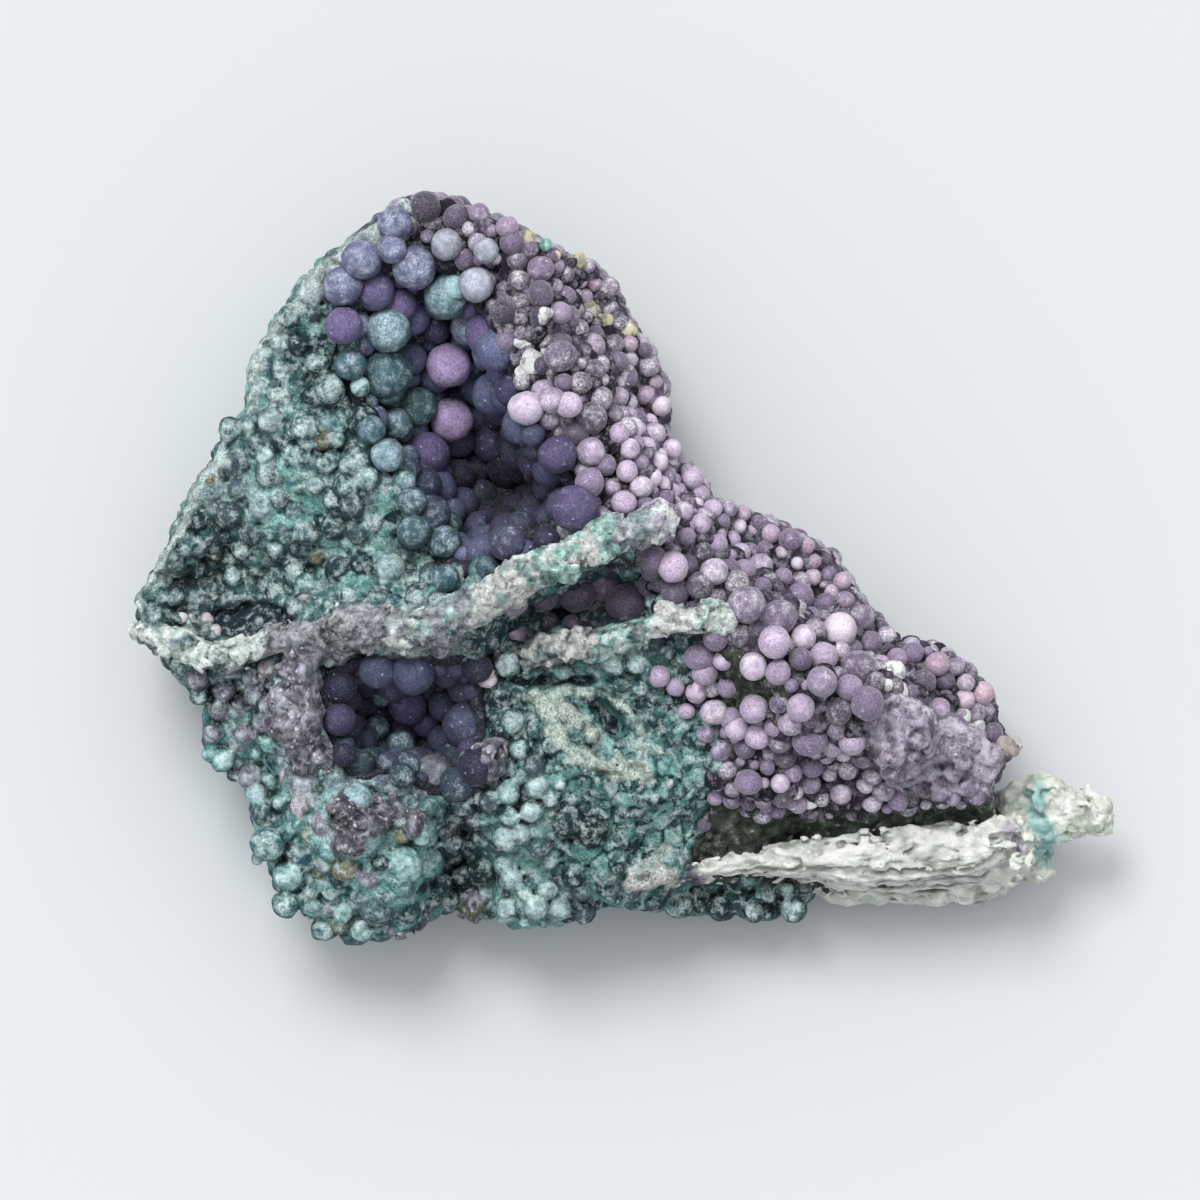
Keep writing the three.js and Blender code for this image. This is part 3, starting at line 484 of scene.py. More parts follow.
def bilinear(table, x, y):
    u = np.clip((x - MAP_LOW[0]) / MAP_STEP, 0, MAP_SIZE[0] - 1.001)
    v = np.clip((y - MAP_LOW[1]) / MAP_STEP, 0, MAP_SIZE[1] - 1.001)
    i, j = u.astype(np.int32), v.astype(np.int32)
    a, b = u - i, v - j
    low = table[i, j] * (1 - a) + table[i + 1, j] * a
    high = table[i, j + 1] * (1 - a) + table[i + 1, j + 1] * a
    return low * (1 - b) + high * b


def weighed_map(spots):
    """A table over the view, weighed from values at spots around each place."""
    xs = MAP_LOW[0] + MAP_STEP * np.arange(MAP_SIZE[0])
    ys = MAP_LOW[1] + MAP_STEP * np.arange(MAP_SIZE[1])
    gx, gy = np.meshgrid(xs, ys, indexing="ij")
    total = np.zeros(MAP_SIZE)
    weights = np.zeros(MAP_SIZE)
    for px, py, value in spots:
        x, y = place(px, py)
        weight = ((gx - x) ** 2 + (gy - y) ** 2 + SPOT_SOFTNESS ** 2) ** -2.0
        total += weight * value
        weights += weight
    return total / weights


HEIGHT_MAP = weighed_map(SPOT_HEIGHTS)
slope_x, slope_y = np.gradient(HEIGHT_MAP, MAP_STEP)
STEEPNESS_MAP = np.sqrt(1 + slope_x ** 2 + slope_y ** 2)


def height(x, y):
    return bilinear(HEIGHT_MAP, x, y)


TURNS = 720


def reach_table(outline, hub):
    """The outline's distance from the hub for each of many directions."""
    points = outline - np.array(hub)
    nexts = np.roll(points, -1, axis=0)
    edges = nexts - points
    table = np.zeros(TURNS)
    for index in range(TURNS):
        turn = 2 * math.pi * index / TURNS
        ray = np.array([math.cos(turn), math.sin(turn)])
        across = ray[0] * edges[:, 1] - ray[1] * edges[:, 0]
        across = np.where(np.abs(across) < 1e-9, 1e-9, across)
        along = (points[:, 0] * edges[:, 1] - points[:, 1] * edges[:, 0]) / across
        share = (points[:, 0] * ray[1] - points[:, 1] * ray[0]) / across
        hits = along[(share >= 0) & (share <= 1) & (along > 0)]
        table[index] = hits.max() if len(hits) else 0
    return table


def reach(table, dx, dy):
    turn = (np.arctan2(dy, dx) / (2 * math.pi) * TURNS) % TURNS
    low = turn.astype(np.int32) % TURNS
    part = turn - np.floor(turn)
    return table[low] * (1 - part) + table[(low + 1) % TURNS] * part


NEAR_ZERO = 1e-6
# Where the edge's height is read, as a share of the outline's reach
EDGE_AT = 0.98
BODY_HUB = place(*HUB_PX)
BODY_REACH = reach_table(places(OUTLINE_PX), BODY_HUB)


def body_field(x, y, z):
    """Below zero inside the rock's mass, in about millimetres."""
    dx, dy = x - BODY_HUB[0], y - BODY_HUB[1]
    full = reach(BODY_REACH, dx, dy)
    out = np.sqrt(dx ** 2 + dy ** 2)
    divisor = np.maximum(out, NEAR_ZERO)
    scale = np.minimum(1.0, EDGE_AT * full / divisor)
    edge = height(BODY_HUB[0] + dx / divisor * full * EDGE_AT, BODY_HUB[1] + dy / divisor * full * EDGE_AT)
    top = (z - height(BODY_HUB[0] + dx * scale, BODY_HUB[1] + dy * scale)) / bilinear(STEEPNESS_MAP, x, y)
    share = np.interp(z / edge, FLANK_HEIGHTS, FLANK_REACHES)
    side = out - full * share
    return np.maximum(np.maximum(top, side), -z)


class Hollow:
    """A funnel from a rim down to its deepest place, open above."""

    def __init__(self, deepest, floor, curve, rim):
        self.hub = place(*deepest)
        self.floor = floor
        self.curve = curve
        self.reach = reach_table(places(rim), self.hub)

    def parts(self, x, y, inset):
        dx, dy = x - self.hub[0], y - self.hub[1]
        out = np.sqrt(dx ** 2 + dy ** 2)
        full = reach(self.reach, dx, dy) - inset
        unit = full / np.maximum(out, NEAR_ZERO)
        rim = height(self.hub[0] + dx * unit, self.hub[1] + dy * unit)
        share = np.minimum(out / full, 1.0)
        wall = self.floor + inset + (rim - self.floor) * share ** self.curve
        slope = (rim - self.floor) * self.curve * share ** (self.curve - 1) / full
        return out, full, wall, slope

    def field(self, x, y, z, inset=0.0):
        """Below zero in the open space."""
        out, full, wall, slope = self.parts(x, y, inset)
        return np.maximum((wall - z) / np.sqrt(1 + slope ** 2), out - full)

    def wall(self, x, y, inset=0.0):
        return self.parts(x, y, inset)[2]


upper_hollow = Hollow(**UPPER_HOLLOW)
lower_hollow = Hollow(**LOWER_HOLLOW)


def smooth_min(a, b, size):
    h = np.clip(0.5 + 0.5 * (b - a) / size, 0, 1)
    return b + (a - b) * h - size * h * (1 - h)


def smooth_max(a, b, size):
    return -smooth_min(-a, -b, size)


class Block:
    """A box of sample points, in which a closed surface is shaped and then meshed."""

    def __init__(self, low, high, step):
        self.step = step * QUICK_FACTOR
        self.low = np.array(low, dtype=float)
        axes = [np.arange(l, h + self.step, self.step, dtype=np.float32) for l, h in zip(low, high)]
        self.x, self.y, self.z = np.meshgrid(*axes, indexing="ij")
        self.across, self.along, self.level = np.meshgrid(*axes, indexing="ij", sparse=True)
        self.axes = axes
        self.field = np.full(self.x.shape, 1e3, dtype=np.float32)
        self.owner = np.full(self.x.shape, -1, dtype=np.int16)

    def window(self, centre, radius):
        slices = []
        for axis, middle in zip(self.axes, centre):
            first = np.searchsorted(axis, middle - radius)
            last = np.searchsorted(axis, middle + radius)
            slices.append(slice(first, last))
        return tuple(slices)

    def add_ball(self, centre, radius, soft=0.3, owner=-1):
        part = self.window(centre, radius * 1.6 + 2 * soft + self.step)
        x, y, z = self.x[part], self.y[part], self.z[part]
        if x.size == 0:
            return
        outside = np.sqrt((x - centre[0]) ** 2 + (y - centre[1]) ** 2 + (z - centre[2]) ** 2) - radius
        self.owner[part][outside < self.field[part]] = owner
        self.field[part] = smooth_min(self.field[part], outside, soft)

    def owners(self, points):
        """The number of the sphere that each point of the surface lies on, or -1."""
        cells = np.rint((points - self.low) / self.step).astype(int)
        cells = np.clip(cells, 0, np.array(self.owner.shape) - 1)
        return self.owner[cells[:, 0], cells[:, 1], cells[:, 2]]

    def add_bar(self, start, end, r_start, r_end, soft=0.5):
        """A round bar between two points whose radius changes evenly."""
        a, b = np.array(start, float), np.array(end, float)
        middle, span = (a + b) / 2, np.linalg.norm(b - a) / 2 + max(r_start, r_end) + 2 * soft
        part = self.window(middle, span + self.step)
        x, y, z = self.x[part], self.y[part], self.z[part]
        if x.size == 0:
            return
        d = b - a
        t = ((x - a[0]) * d[0] + (y - a[1]) * d[1] + (z - a[2]) * d[2]) / (d @ d)
        t = np.clip(t, 0, 1)
        distance = np.sqrt(
            (x - a[0] - t * d[0]) ** 2 + (y - a[1] - t * d[1]) ** 2 + (z - a[2] - t * d[2]) ** 2
        )
        self.field[part] = smooth_min(self.field[part], distance - (r_start + (r_end - r_start) * t), soft)

    def mesh(self, name, adaptivity=0.0):
        """The zero surface as a closed mesh object in metres."""
        for axis in range(3):
            for end in (0, -1):
                face = [slice(None)] * 3
                face[axis] = end
                self.field[tuple(face)] = np.maximum(self.field[tuple(face)], 1)
        grid = vdb.FloatGrid(3.0)
        grid.copyFromArray(np.clip(self.field / self.step, -3, 3).astype(np.float32))
        points, triangles, quads = grid.convertToPolygons(0.0, adaptivity)
        points = points * self.step + self.low
        return build_mesh(name, points, triangles, quads)

    def field_at(self, points):
        cells = np.rint((points - self.low) / self.step).astype(int)
        cells = np.clip(cells, 0, np.array(self.field.shape) - 1)
        return self.field[cells[:, 0], cells[:, 1], cells[:, 2]]


def build_mesh(name, points, triangles, quads):
    """A smooth-shaded mesh object in metres from arrays in millimetres."""
    loops = np.concatenate([triangles.ravel(), quads.ravel()]).astype(np.int32)
    sizes = np.concatenate([np.full(len(triangles), 3), np.full(len(quads), 4)]).astype(np.int32)
    starts = np.concatenate([[0], np.cumsum(sizes)[:-1]]).astype(np.int32)
    mesh = bpy.data.meshes.new(name)
    mesh.vertices.add(len(points))
    mesh.vertices.foreach_set("co", (points * MM).astype(np.float32).ravel())
    mesh.loops.add(len(loops))
    mesh.loops.foreach_set("vertex_index", loops)
    mesh.polygons.add(len(sizes))
    mesh.polygons.foreach_set("loop_start", starts)
    mesh.polygons.foreach_set("use_smooth", np.ones(len(sizes), dtype=bool))
    mesh.update(calc_edges=True)
    mesh.validate()
    piece = bpy.data.objects.new(name, mesh)
    bpy.context.scene.collection.objects.link(piece)
    return piece


# What covers the rock where, as shares over the view

COVER_SPOTS = {
    "teal": [
        (330, 300), (280, 360), (330, 400), (240, 440), (300, 470), (380, 520), (220, 530), (300, 560),
        (400, 580), (170, 580), (250, 600), (350, 600), (560, 650), (600, 680), (540, 740), (600, 780),
        (660, 740), (690, 800), (620, 850), (560, 850), (500, 780), (500, 850), (540, 900), (450, 880),
        (400, 850), (340, 870), (290, 860), (370, 930), (300, 910), (680, 905), (760, 915), (210, 690),
        (245, 740), (270, 800), (460, 820),
    ],
    "purple": [
        (430, 210), (500, 240), (560, 280), (540, 340), (610, 330), (600, 390), (650, 400), (610, 450),
        (660, 470), (620, 510), (700, 510), (670, 560), (740, 560), (800, 570), (700, 620), (780, 630),
        (850, 620), (740, 680), (810, 690), (870, 680), (930, 690), (980, 700), (740, 740), (800, 750),
        (760, 780), (850, 780), (600, 590), (640, 600), (575, 600), (390, 220),
    ],
    "druse": [
        (900, 730), (940, 720), (940, 770), (980, 770), (870, 740), (290, 700), (300, 760), (320, 650),
        (380, 632), (350, 830), (410, 815),
    ],
    "moss": [
        (730, 810), (790, 825), (850, 822), (900, 815), (960, 818), (740, 680), (775, 690), (720, 660),
        (690, 690), (640, 545),
    ],
    # The dark cover lies in the hollows' depths, the channel and the gap under the ridges: painted shade
    "dark": [
        (470, 450), (520, 490), (450, 500), (400, 700), (440, 740), (450, 840), (460, 890), (620, 625),
        (560, 620), (510, 640),
    ],
    "mint": [
        (300, 330), (250, 392), (262, 470), (290, 500), (330, 522), (335, 548), (350, 560), (415, 585),
        (560, 645), (600, 662), (650, 800), (600, 858), (565, 770), (680, 780), (640, 830), (400, 862),
        (430, 848), (350, 900), (515, 885), (540, 900), (505, 842), (530, 790), (230, 480), (670, 820),
        (250, 760), (268, 780), (330, 845), (300, 880), (625, 665), (640, 784), (610, 700), (690, 740),
    ],
    "pale": [
        (320, 255), (270, 330), (200, 480), (150, 560), (180, 650), (230, 655), (430, 630), (800, 870),
        (900, 870), (980, 850), (860, 850),
    ],
}
COVER_COLOURS = {
    "teal": (srgb(80, 142, 142), srgb(32, 66, 74), srgb(158, 220, 214)),
    "purple": (PURPLE * 0.6, DARK_PURPLE, PURPLE),
    "druse": (DRUSE_GREY * 0.8, PURPLE * 0.7, LILAC),
    "moss": (MOSS, MOSS * 0.3, srgb(118, 126, 108)),
    "dark": (HOLLOW_DEEP, HOLLOW_DEEP * 0.6, DARK_TEAL),
    "pale": (WHITE_MINT, MINT, CREAM),
    "mint": (srgb(144, 216, 210), srgb(70, 134, 132), srgb(206, 240, 236)),
}


def cover_maps():
    names = list(COVER_SPOTS)
    spots = [(px, py, names.index(name)) for name in names for px, py in COVER_SPOTS[name]]
    maps = []
    for wanted in range(len(names)):
        maps.append(weighed_map([(px, py, float(kind == wanted)) for px, py, kind in spots]))
    return dict(zip(names, maps))


COVER_MAPS = cover_maps()


def cover(name, x, y):
    return bilinear(COVER_MAPS[name], x, y)


def mix(a, b, share):
    share = np.clip(share, 0, 1)[..., None]
    return a * (1 - share) + b * share


def mottled(points, base, dark, light, size=2.5, seed=0):
    """A base colour that drifts to a darker and a lighter one in patches."""
    x, y, z = points.T
    drift = rough(x, y, z, size, 4, seed)
    colour = mix(np.broadcast_to(base, points.shape), dark, np.clip(-drift * 1.6, 0, 1))
    return mix(colour, light, np.clip(drift * 1.5 - 0.25, 0, 1))


def rock_colour(points):
    x, y, z = points.T
    wobble_x = x + 2.2 * rough(x, y, z, 5, 2, 21)
    wobble_y = y + 2.2 * rough(x, y, z, 5, 2, 25)
    total = np.zeros(points.shape)
    weights = np.zeros(len(points))
    for seed, (name, colours) in enumerate(COVER_COLOURS.items()):
        share = cover(name, wobble_x, wobble_y) ** 2
        total += mottled(points, *colours, seed=seed) * share[:, None]
        weights += share
    return total / weights[:, None]


def set_tint(piece, colours, frost):
    """Stores the colour of each corner, with how frosted or dusted it is in the last value."""
    values = np.column_stack([np.clip(colours, 0, 1), np.clip(frost, 0, 1)]).astype(np.float32)
    attribute = piece.data.attributes.new("tint", "FLOAT_COLOR", "POINT")
    attribute.data.foreach_set("color", values.ravel())


def points_of(piece):
    points = np.zeros(len(piece.data.vertices) * 3, dtype=np.float32)
    piece.data.vertices.foreach_get("co", points)
    return points.reshape(-1, 3).astype(float) / MM


def normals_of(piece):
    normals = np.zeros(len(piece.data.vertices) * 3, dtype=np.float32)
    piece.data.vertices.foreach_get("normal", normals)
    return normals.reshape(-1, 3).astype(float)


# Materials

# Frost and deep colour of each stone
STAIN_FROST, STAIN_DEEP = tuple(srgb(226, 248, 247)), (0.003, 0.013, 0.018)
GROUND_FROST, GROUND_DEEP = (0.68, 0.64, 0.74), (0.012, 0.008, 0.018)
HOLLOW_FROST, HOLLOW_SHADE = tuple(srgb(210, 226, 240)), (0.012, 0.012, 0.03)
PURPLE_FROST, PURPLE_SHADE = (0.92, 0.89, 0.94), (0.035, 0.025, 0.055)
RIDGE_FROST, RIDGE_DEEP = tuple(srgb(234, 242, 240)), (0.02, 0.03, 0.036)


class Shader:
    """A material's node tree, with short calls to add to it."""

    def __init__(self, name):
        self.material = bpy.data.materials.new(name)
        self.material.use_nodes = True
        self.tree = self.material.node_tree
        self.principled = self.tree.nodes["Principled BSDF"]
        coordinates = self.tree.nodes.new("ShaderNodeTexCoord")
        self.place = coordinates.outputs["Object"]

    def link(self, source, target):
        self.tree.links.new(source, target)

    def set(self, **values):
        for name, value in values.items():
            socket = self.principled.inputs[name.replace("_", " ")]
            if isinstance(value, bpy.types.NodeSocket):
                self.link(value, socket)
            else:
                socket.default_value = value

    def tint(self):
        node = self.tree.nodes.new("ShaderNodeAttribute")
        node.attribute_name = "tint"
        return node.outputs["Color"], node.outputs["Alpha"]

    def squeezed(self, *shares):
        """The place with each direction scaled, which draws out what is made from it."""
        node = self.tree.nodes.new("ShaderNodeVectorMath")
        node.operation = "MULTIPLY"
        node.inputs[1].default_value = shares
        self.link(self.place, node.inputs[0])
        return node.outputs["Vector"]

    def noise(self, size_mm, detail=3.0, roughness=0.6, seed=0.0, place=None):
        node = self.tree.nodes.new("ShaderNodeTexNoise")
        node.noise_dimensions = "4D"
        node.inputs["W"].default_value = seed
        node.inputs["Scale"].default_value = 1 / (size_mm * MM)
        node.inputs["Detail"].default_value = detail
        node.inputs["Roughness"].default_value = roughness
        self.link(place or self.place, node.inputs["Vector"])
        return node.outputs["Fac"]

    def cells(self, size_mm, feature="F1"):
        node = self.tree.nodes.new("ShaderNodeTexVoronoi")
        node.feature = feature
        node.inputs["Scale"].default_value = 1 / (size_mm * MM)
        self.link(self.place, node.inputs["Vector"])
        return node.outputs["Distance"]

    def cell_colour(self, size_mm):
        node = self.tree.nodes.new("ShaderNodeTexVoronoi")
        node.inputs["Scale"].default_value = 1 / (size_mm * MM)
        self.link(self.place, node.inputs["Vector"])
        split = self.tree.nodes.new("ShaderNodeSeparateColor")
        self.link(node.outputs["Color"], split.inputs["Color"])
        return split.outputs["Red"]

    def remap(self, source, low, high, to_low=0.0, to_high=1.0):
        node = self.tree.nodes.new("ShaderNodeMapRange")
        node.inputs["From Min"].default_value = low
        node.inputs["From Max"].default_value = high
        node.inputs["To Min"].default_value = to_low
        node.inputs["To Max"].default_value = to_high
        self.link(source, node.inputs["Value"])
        return node.outputs["Result"]

    def maths(self, operation, *values):
        node = self.tree.nodes.new("ShaderNodeMath")
        node.operation = operation
        for socket, value in zip(node.inputs, values):
            if isinstance(value, bpy.types.NodeSocket):
                self.link(value, socket)
            else:
                socket.default_value = value
        return node.outputs["Value"]

    def mix(self, share, first, second):
        node = self.tree.nodes.new("ShaderNodeMix")
        node.data_type = "RGBA"
        sockets = (node.inputs["Factor"], node.inputs[6], node.inputs[7])
        for socket, value in zip(sockets, (share, first, second)):
            if isinstance(value, bpy.types.NodeSocket):
                self.link(value, socket)
            elif isinstance(value, (int, float)):
                socket.default_value = value
            else:
                socket.default_value = (*value, 1.0)
        return node.outputs[2]

    def bump(self, heights):
        """Bump from pairs of a height and its depth in millimetres, one over another."""
        normal = None
        for source, depth in heights:
            node = self.tree.nodes.new("ShaderNodeBump")
            node.inputs["Distance"].default_value = depth * MM
            self.link(source, node.inputs["Height"])
            if normal is not None:
                self.link(normal, node.inputs["Normal"])
            normal = node.outputs["Normal"]
        self.link(normal, self.principled.inputs["Normal"])


def grape_material(name, frost_colour, deep, glow, sheen, crackle, gloss):
    """Frosted chalcedony: a milky body under a thin skin of sugary crystals, with sparse painted glints."""
    shader = Shader(name)
    tint, frost = shader.tint()
    sugar = shader.noise(0.36, 5.0, 0.75)
    patches = shader.noise(1.5, 6.0, 0.7, 3.0)
    grains_and_glints = shader.cell_colour(0.26)
    net = shader.cells(0.6, "DISTANCE_TO_EDGE")
    covered = shader.maths("MULTIPLY_ADD", frost, 0.3, patches)
    grown = shader.remap(covered, 0.6, 0.8)
    crust = shader.maths("MULTIPLY", grown, shader.remap(sugar, 0.44, 0.54, 0.1, 1.0))
    shade = shader.mix(shader.remap(sugar, 0.42, 0.6, 0.0, 0.55), tint, deep)
    pale = shader.mix(0.75, tint, frost_colour)
    shade = shader.mix(shader.remap(net, 0.0, 0.08, crackle, 0.0), shade, pale)
    shade = shader.mix(crust, shade, pale)
    # Sparse painted glints in the frost colour
    shade = shader.mix(shader.remap(grains_and_glints, 0.996, 0.998, 0.0, 0.6), shade, frost_colour)
    shader.set(
        Base_Color=shade,
        Roughness=shader.remap(sugar, 0.3, 0.7, 0.45, 0.7),
        Subsurface_Weight=glow,
        Subsurface_Scale=1.8 * MM,
        Sheen_Weight=sheen,
        Sheen_Roughness=0.4,
        Sheen_Tint=(0.92, 0.88, 0.97, 1.0),
        Specular_IOR_Level=gloss,
    )
    shader.principled.inputs["Subsurface Radius"].default_value = (1.0, 0.75, 1.0)
    shader.bump([(patches, 0.16), (sugar, 0.07), (grains_and_glints, 0.03)])
    return shader.material


def skin_material(name, frost_colour, deep, paleness, bare, glow):
    """Crusted domes: patches of pale sugary crystals over the tint, dark in the pores.

    The crystals cover more where the surface is frosted, and less with a higher bare value.
    """
    shader = Shader(name)
    tint, frost = shader.tint()
    fine = shader.noise(0.34, 5.0, 0.75)
    patches = shader.noise(1.6, 8.0, 0.72, 3.0)
    pores = shader.noise(0.8, 6.0, 0.7, 7.0)
    glints = shader.cell_colour(0.4)
    covered = shader.maths("MULTIPLY_ADD", frost, 0.14, patches)
    grown = shader.remap(covered, bare - 0.05, bare + 0.15)
    crust = shader.maths("MULTIPLY", grown, shader.remap(fine, 0.38, 0.48))
    hollow = shader.remap(pores, 0.5, 0.68, 0.0, 0.9)
    pore = shader.maths("MULTIPLY", hollow, shader.remap(fine, 0.42, 0.6, 1.0, 0.4))
    pore = shader.maths("MULTIPLY", pore, shader.remap(frost, 0.0, 0.15, 0.2, 1.0))
    shade = shader.mix(shader.remap(fine, 0.42, 0.62, 0.0, 0.8), tint, deep)
    shade = shader.mix(pore, shade, deep)
    pale = shader.mix(paleness, tint, frost_colour)
    shade = shader.mix(crust, shade, pale)
    shade = shader.mix(shader.remap(glints, 0.997, 0.999, 0.0, 0.6), shade, GLINT)
    shader.set(
        Base_Color=shade,
        Roughness=shader.remap(fine, 0.3, 0.7, 0.55, 0.85),
        Subsurface_Weight=glow,
        Subsurface_Scale=1.0 * MM,
        Specular_IOR_Level=0.25,
    )
    shader.bump([(patches, 0.4), (pores, -0.3), (fine, 0.14)])
    return shader.material


def rock_material():
    """Plain rock seen only through gaps, painted dark as shade in them."""
    shader = Shader("inner_rock")
    tint, _ = shader.tint()
    fine = shader.noise(0.5, 4.0)
    shade = shader.mix(shader.remap(fine, 0.35, 0.7, 0.0, 0.45), tint, (0.01, 0.02, 0.024))
    shader.set(Base_Color=shade, Roughness=0.8)
    shader.bump([(fine, 0.2)])
    return shader.material


def druse_material():
    """Broken quartz: small glassy facets, dark and pale side by side, with a few painted glints."""
    shader = Shader("quartz_druse")
    tint, _ = shader.tint()
    facet = shader.cell_colour(0.9)
    small_facet = shader.cell_colour(0.45)
    shade = shader.noise(0.8, 6.0, 0.7)
    fine = shader.noise(0.2, 3.0, 0.7)
    dark = shader.mix(shader.remap(facet, 0.05, 0.5, 0.6, 0.0), tint, (0.02, 0.02, 0.03))
    pale = shader.mix(shader.remap(shade, 0.52, 0.7, 0.0, 0.5), dark, (0.74, 0.75, 0.8))
    # A few small facets painted near-white: painted glints
    bright = shader.mix(shader.remap(small_facet, 0.96, 0.99, 0.0, 0.6), pale, (0.8, 0.8, 0.84))
    shader.set(Base_Color=bright, Roughness=0.5, Specular_IOR_Level=0.4, Sheen_Weight=0.1)
    shader.bump([(facet, 0.2), (small_facet, 0.1), (fine, 0.06)])
    return shader.material


def ledge_material():
    """Cream stone like old plaster, with fine pits, and thin dark lines along its layered front."""
    shader = Shader("pale_layers")
    tint, front = shader.tint()
    fine = shader.noise(0.22, 5.0, 0.7)
    coarse = shader.noise(1.6, 7.0, 0.7, 3.0)
    lines = shader.noise(0.7, 5.0, 0.65, 5.0, shader.squeezed(0.16, 1.0, 1.6))
    pits = shader.cells(0.7)
    shade = shader.mix(shader.remap(fine, 0.48, 0.68, 0.0, 0.22), tint, (0.4, 0.4, 0.38))
    shade = shader.mix(shader.remap(coarse, 0.52, 0.66, 0.0, 0.2), shade, (0.46, 0.47, 0.45))
    shade = shader.mix(shader.remap(pits, 0.0, 0.18, 0.3, 0.0), shade, (0.25, 0.25, 0.23))
    along = shader.remap(front, 0.0, 1.0, 0.25, 1.0)
    lined = shader.maths("MULTIPLY", shader.remap(lines, 0.54, 0.66, 0.0, 0.6), along)
    shade = shader.mix(lined, shade, (0.16, 0.17, 0.15))
    shader.set(Base_Color=shade, Roughness=0.85, Specular_IOR_Level=0.3)
    shader.bump([(coarse, 0.5), (lines, -0.25), (fine, 0.2), (pits, 0.15)])
    return shader.material


# Spheres and their places


def ball_template(subdivisions):
    ball = bmesh.new()
    bmesh.ops.create_icosphere(ball, subdivisions=subdivisions, radius=1.0)
    corners = np.array([v.co[:] for v in ball.verts])
    faces = np.array([[v.index for v in f.verts] for f in ball.faces])
    ball.free()
    return corners, faces


BALLS = {count: ball_template(count) for count in (3, 4)}
LARGE_GRAPE = 2.3


def random_turns(count, random):
    """Random rotations from random unit quaternions."""
    q = random.normal(size=(count, 4))
    q /= np.linalg.norm(q, axis=1)[:, None]
    w, x, y, z = q.T
    return np.stack([
        np.stack([1 - 2 * (y * y + z * z), 2 * (x * y - w * z), 2 * (x * z + w * y)], -1),
        np.stack([2 * (x * y + w * z), 1 - 2 * (x * x + z * z), 2 * (y * z - w * x)], -1),
        np.stack([2 * (x * z - w * y), 2 * (y * z + w * x), 1 - 2 * (x * x + y * y)], -1),
    ], 1)


class Grapes:
    """A growing list of spheres with a colour and a frost each."""

    def __init__(self, seed):
        self.random = np.random.default_rng(seed)
        self.centres = np.zeros((0, 3))
        self.radii = np.zeros(0)
        self.tints = np.zeros((0, 3))
        self.frosts = np.zeros(0)
        self.stretches = np.zeros((0, 3))

    def add(self, centre, radius, tint, frost, stretch=(1, 1, 1)):
        self.centres = np.vstack([self.centres, centre])
        self.radii = np.append(self.radii, radius)
        self.tints = np.vstack([self.tints, tint])
        self.frosts = np.append(self.frosts, frost)
        self.stretches = np.vstack([self.stretches, stretch])

    def free(self, centre, radius, spacing):
        if not len(self.radii):
            return True
        distances = np.linalg.norm(self.centres - centre, axis=1)
        return bool((distances > spacing * (self.radii + radius)).all())

    def piece(self, name, dents, upright=False):
        """All of them as one mesh object, dented by noise of up to the given share of the radius."""
        parts = []
        turns = random_turns(len(self.radii), self.random)
        if upright:
            turns = np.broadcast_to(np.eye(3), turns.shape)
        large = self.radii > LARGE_GRAPE
        for chosen, subdivisions in ((large, 4), (~large, 3)):
            if chosen.any():
                part_name = name + "_" + str(subdivisions)
                parts.append(self.balls(part_name, chosen, turns[chosen], subdivisions, dents))
        return joined(name, parts)

    def balls(self, name, chosen, turns, subdivisions, dents):
        corners, faces = BALLS[subdivisions]
        radii, centres = self.radii[chosen], self.centres[chosen]
        unit = np.einsum("nij,kj->nki", turns, corners) * self.stretches[chosen][:, None, :]
        flat = (unit * radii[:, None, None] + centres[:, None, :]).reshape(-1, 3)
        sizes = np.repeat(radii, len(corners))
        swell = dents * (noise(*flat.T, 2.4, 3) + 0.8 * noise(*flat.T, 1.1, 5))
        points = flat + unit.reshape(-1, 3) * (sizes * swell)[:, None]
        offsets = np.arange(len(radii))[:, None, None] * len(corners)
        triangles = (faces[None] + offsets).reshape(-1, 3)
        piece = build_mesh(name, points, triangles, np.zeros((0, 4), int))
        tints = np.repeat(self.tints[chosen], len(corners), axis=0)
        rise = unit[:, :, 2].ravel()
        frosts = np.repeat(self.frosts[chosen], len(corners)) * np.clip(0.3 + 0.9 * rise, 0, 1)
        # Each grape darkens towards its underside, as painted shade between the grapes
        tints = tints * np.clip(0.68 + 0.42 * rise, 0.45, 1.06)[:, None]
        tints = tints * (1 + 0.22 * noise(*points.T, 1.3, 9)[:, None])
        set_tint(piece, tints, frosts)
        return piece


def inside(polygon, x, y):
    result = np.zeros(np.broadcast(x, y).shape, dtype=bool)
    nexts = np.roll(polygon, -1, axis=0)
    for (ax, ay), (bx, by) in zip(polygon, nexts):
        spans = (ay > y) != (by > y)
        with np.errstate(divide="ignore", invalid="ignore"):
            crossing = x < ax + (y - ay) * (bx - ax) / (by - ay)
        result ^= spans & crossing
    return result


# The most triangles that each piece keeps; they are thinned out where its surface is plain
MOST_TRIANGLES = {
    "rock_core": 10000, "teal_wall": 115000, "teal_lower_left": 90000, "teal_centre": 120000,
    "crest_ground": 50000, "mound_ground": 90000, "upper_hollow_grapes": 82000, "lower_hollow_grapes": 42000,
    "purple_grapes": 130000, "long_ridge": 48000, "short_ridge": 20000, "druse_column": 16000,
    "druse_lumps": 26000, "broken_chips": 8000, "pale_ledge": 100000,
}


def thin_out(piece):
    """Brings a finished mesh down to its number of triangles, keeping it closed."""
    count = sum(polygon.loop_total - 2 for polygon in piece.data.polygons)
    most = MOST_TRIANGLES[piece.name]
    if count <= most:
        return
    modifier = piece.modifiers.new("thin_out", "DECIMATE")
    modifier.ratio = most / count
    bpy.context.view_layer.objects.active = piece
    bpy.ops.object.modifier_apply(modifier=modifier.name)


def finish_piece(piece, material, slot, *nodes):
    thin_out(piece)
    piece.data.materials.append(material)
    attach(piece, "root")
    if nodes:
        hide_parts(*nodes)
    return piece


# Lines, pits and patches in the view


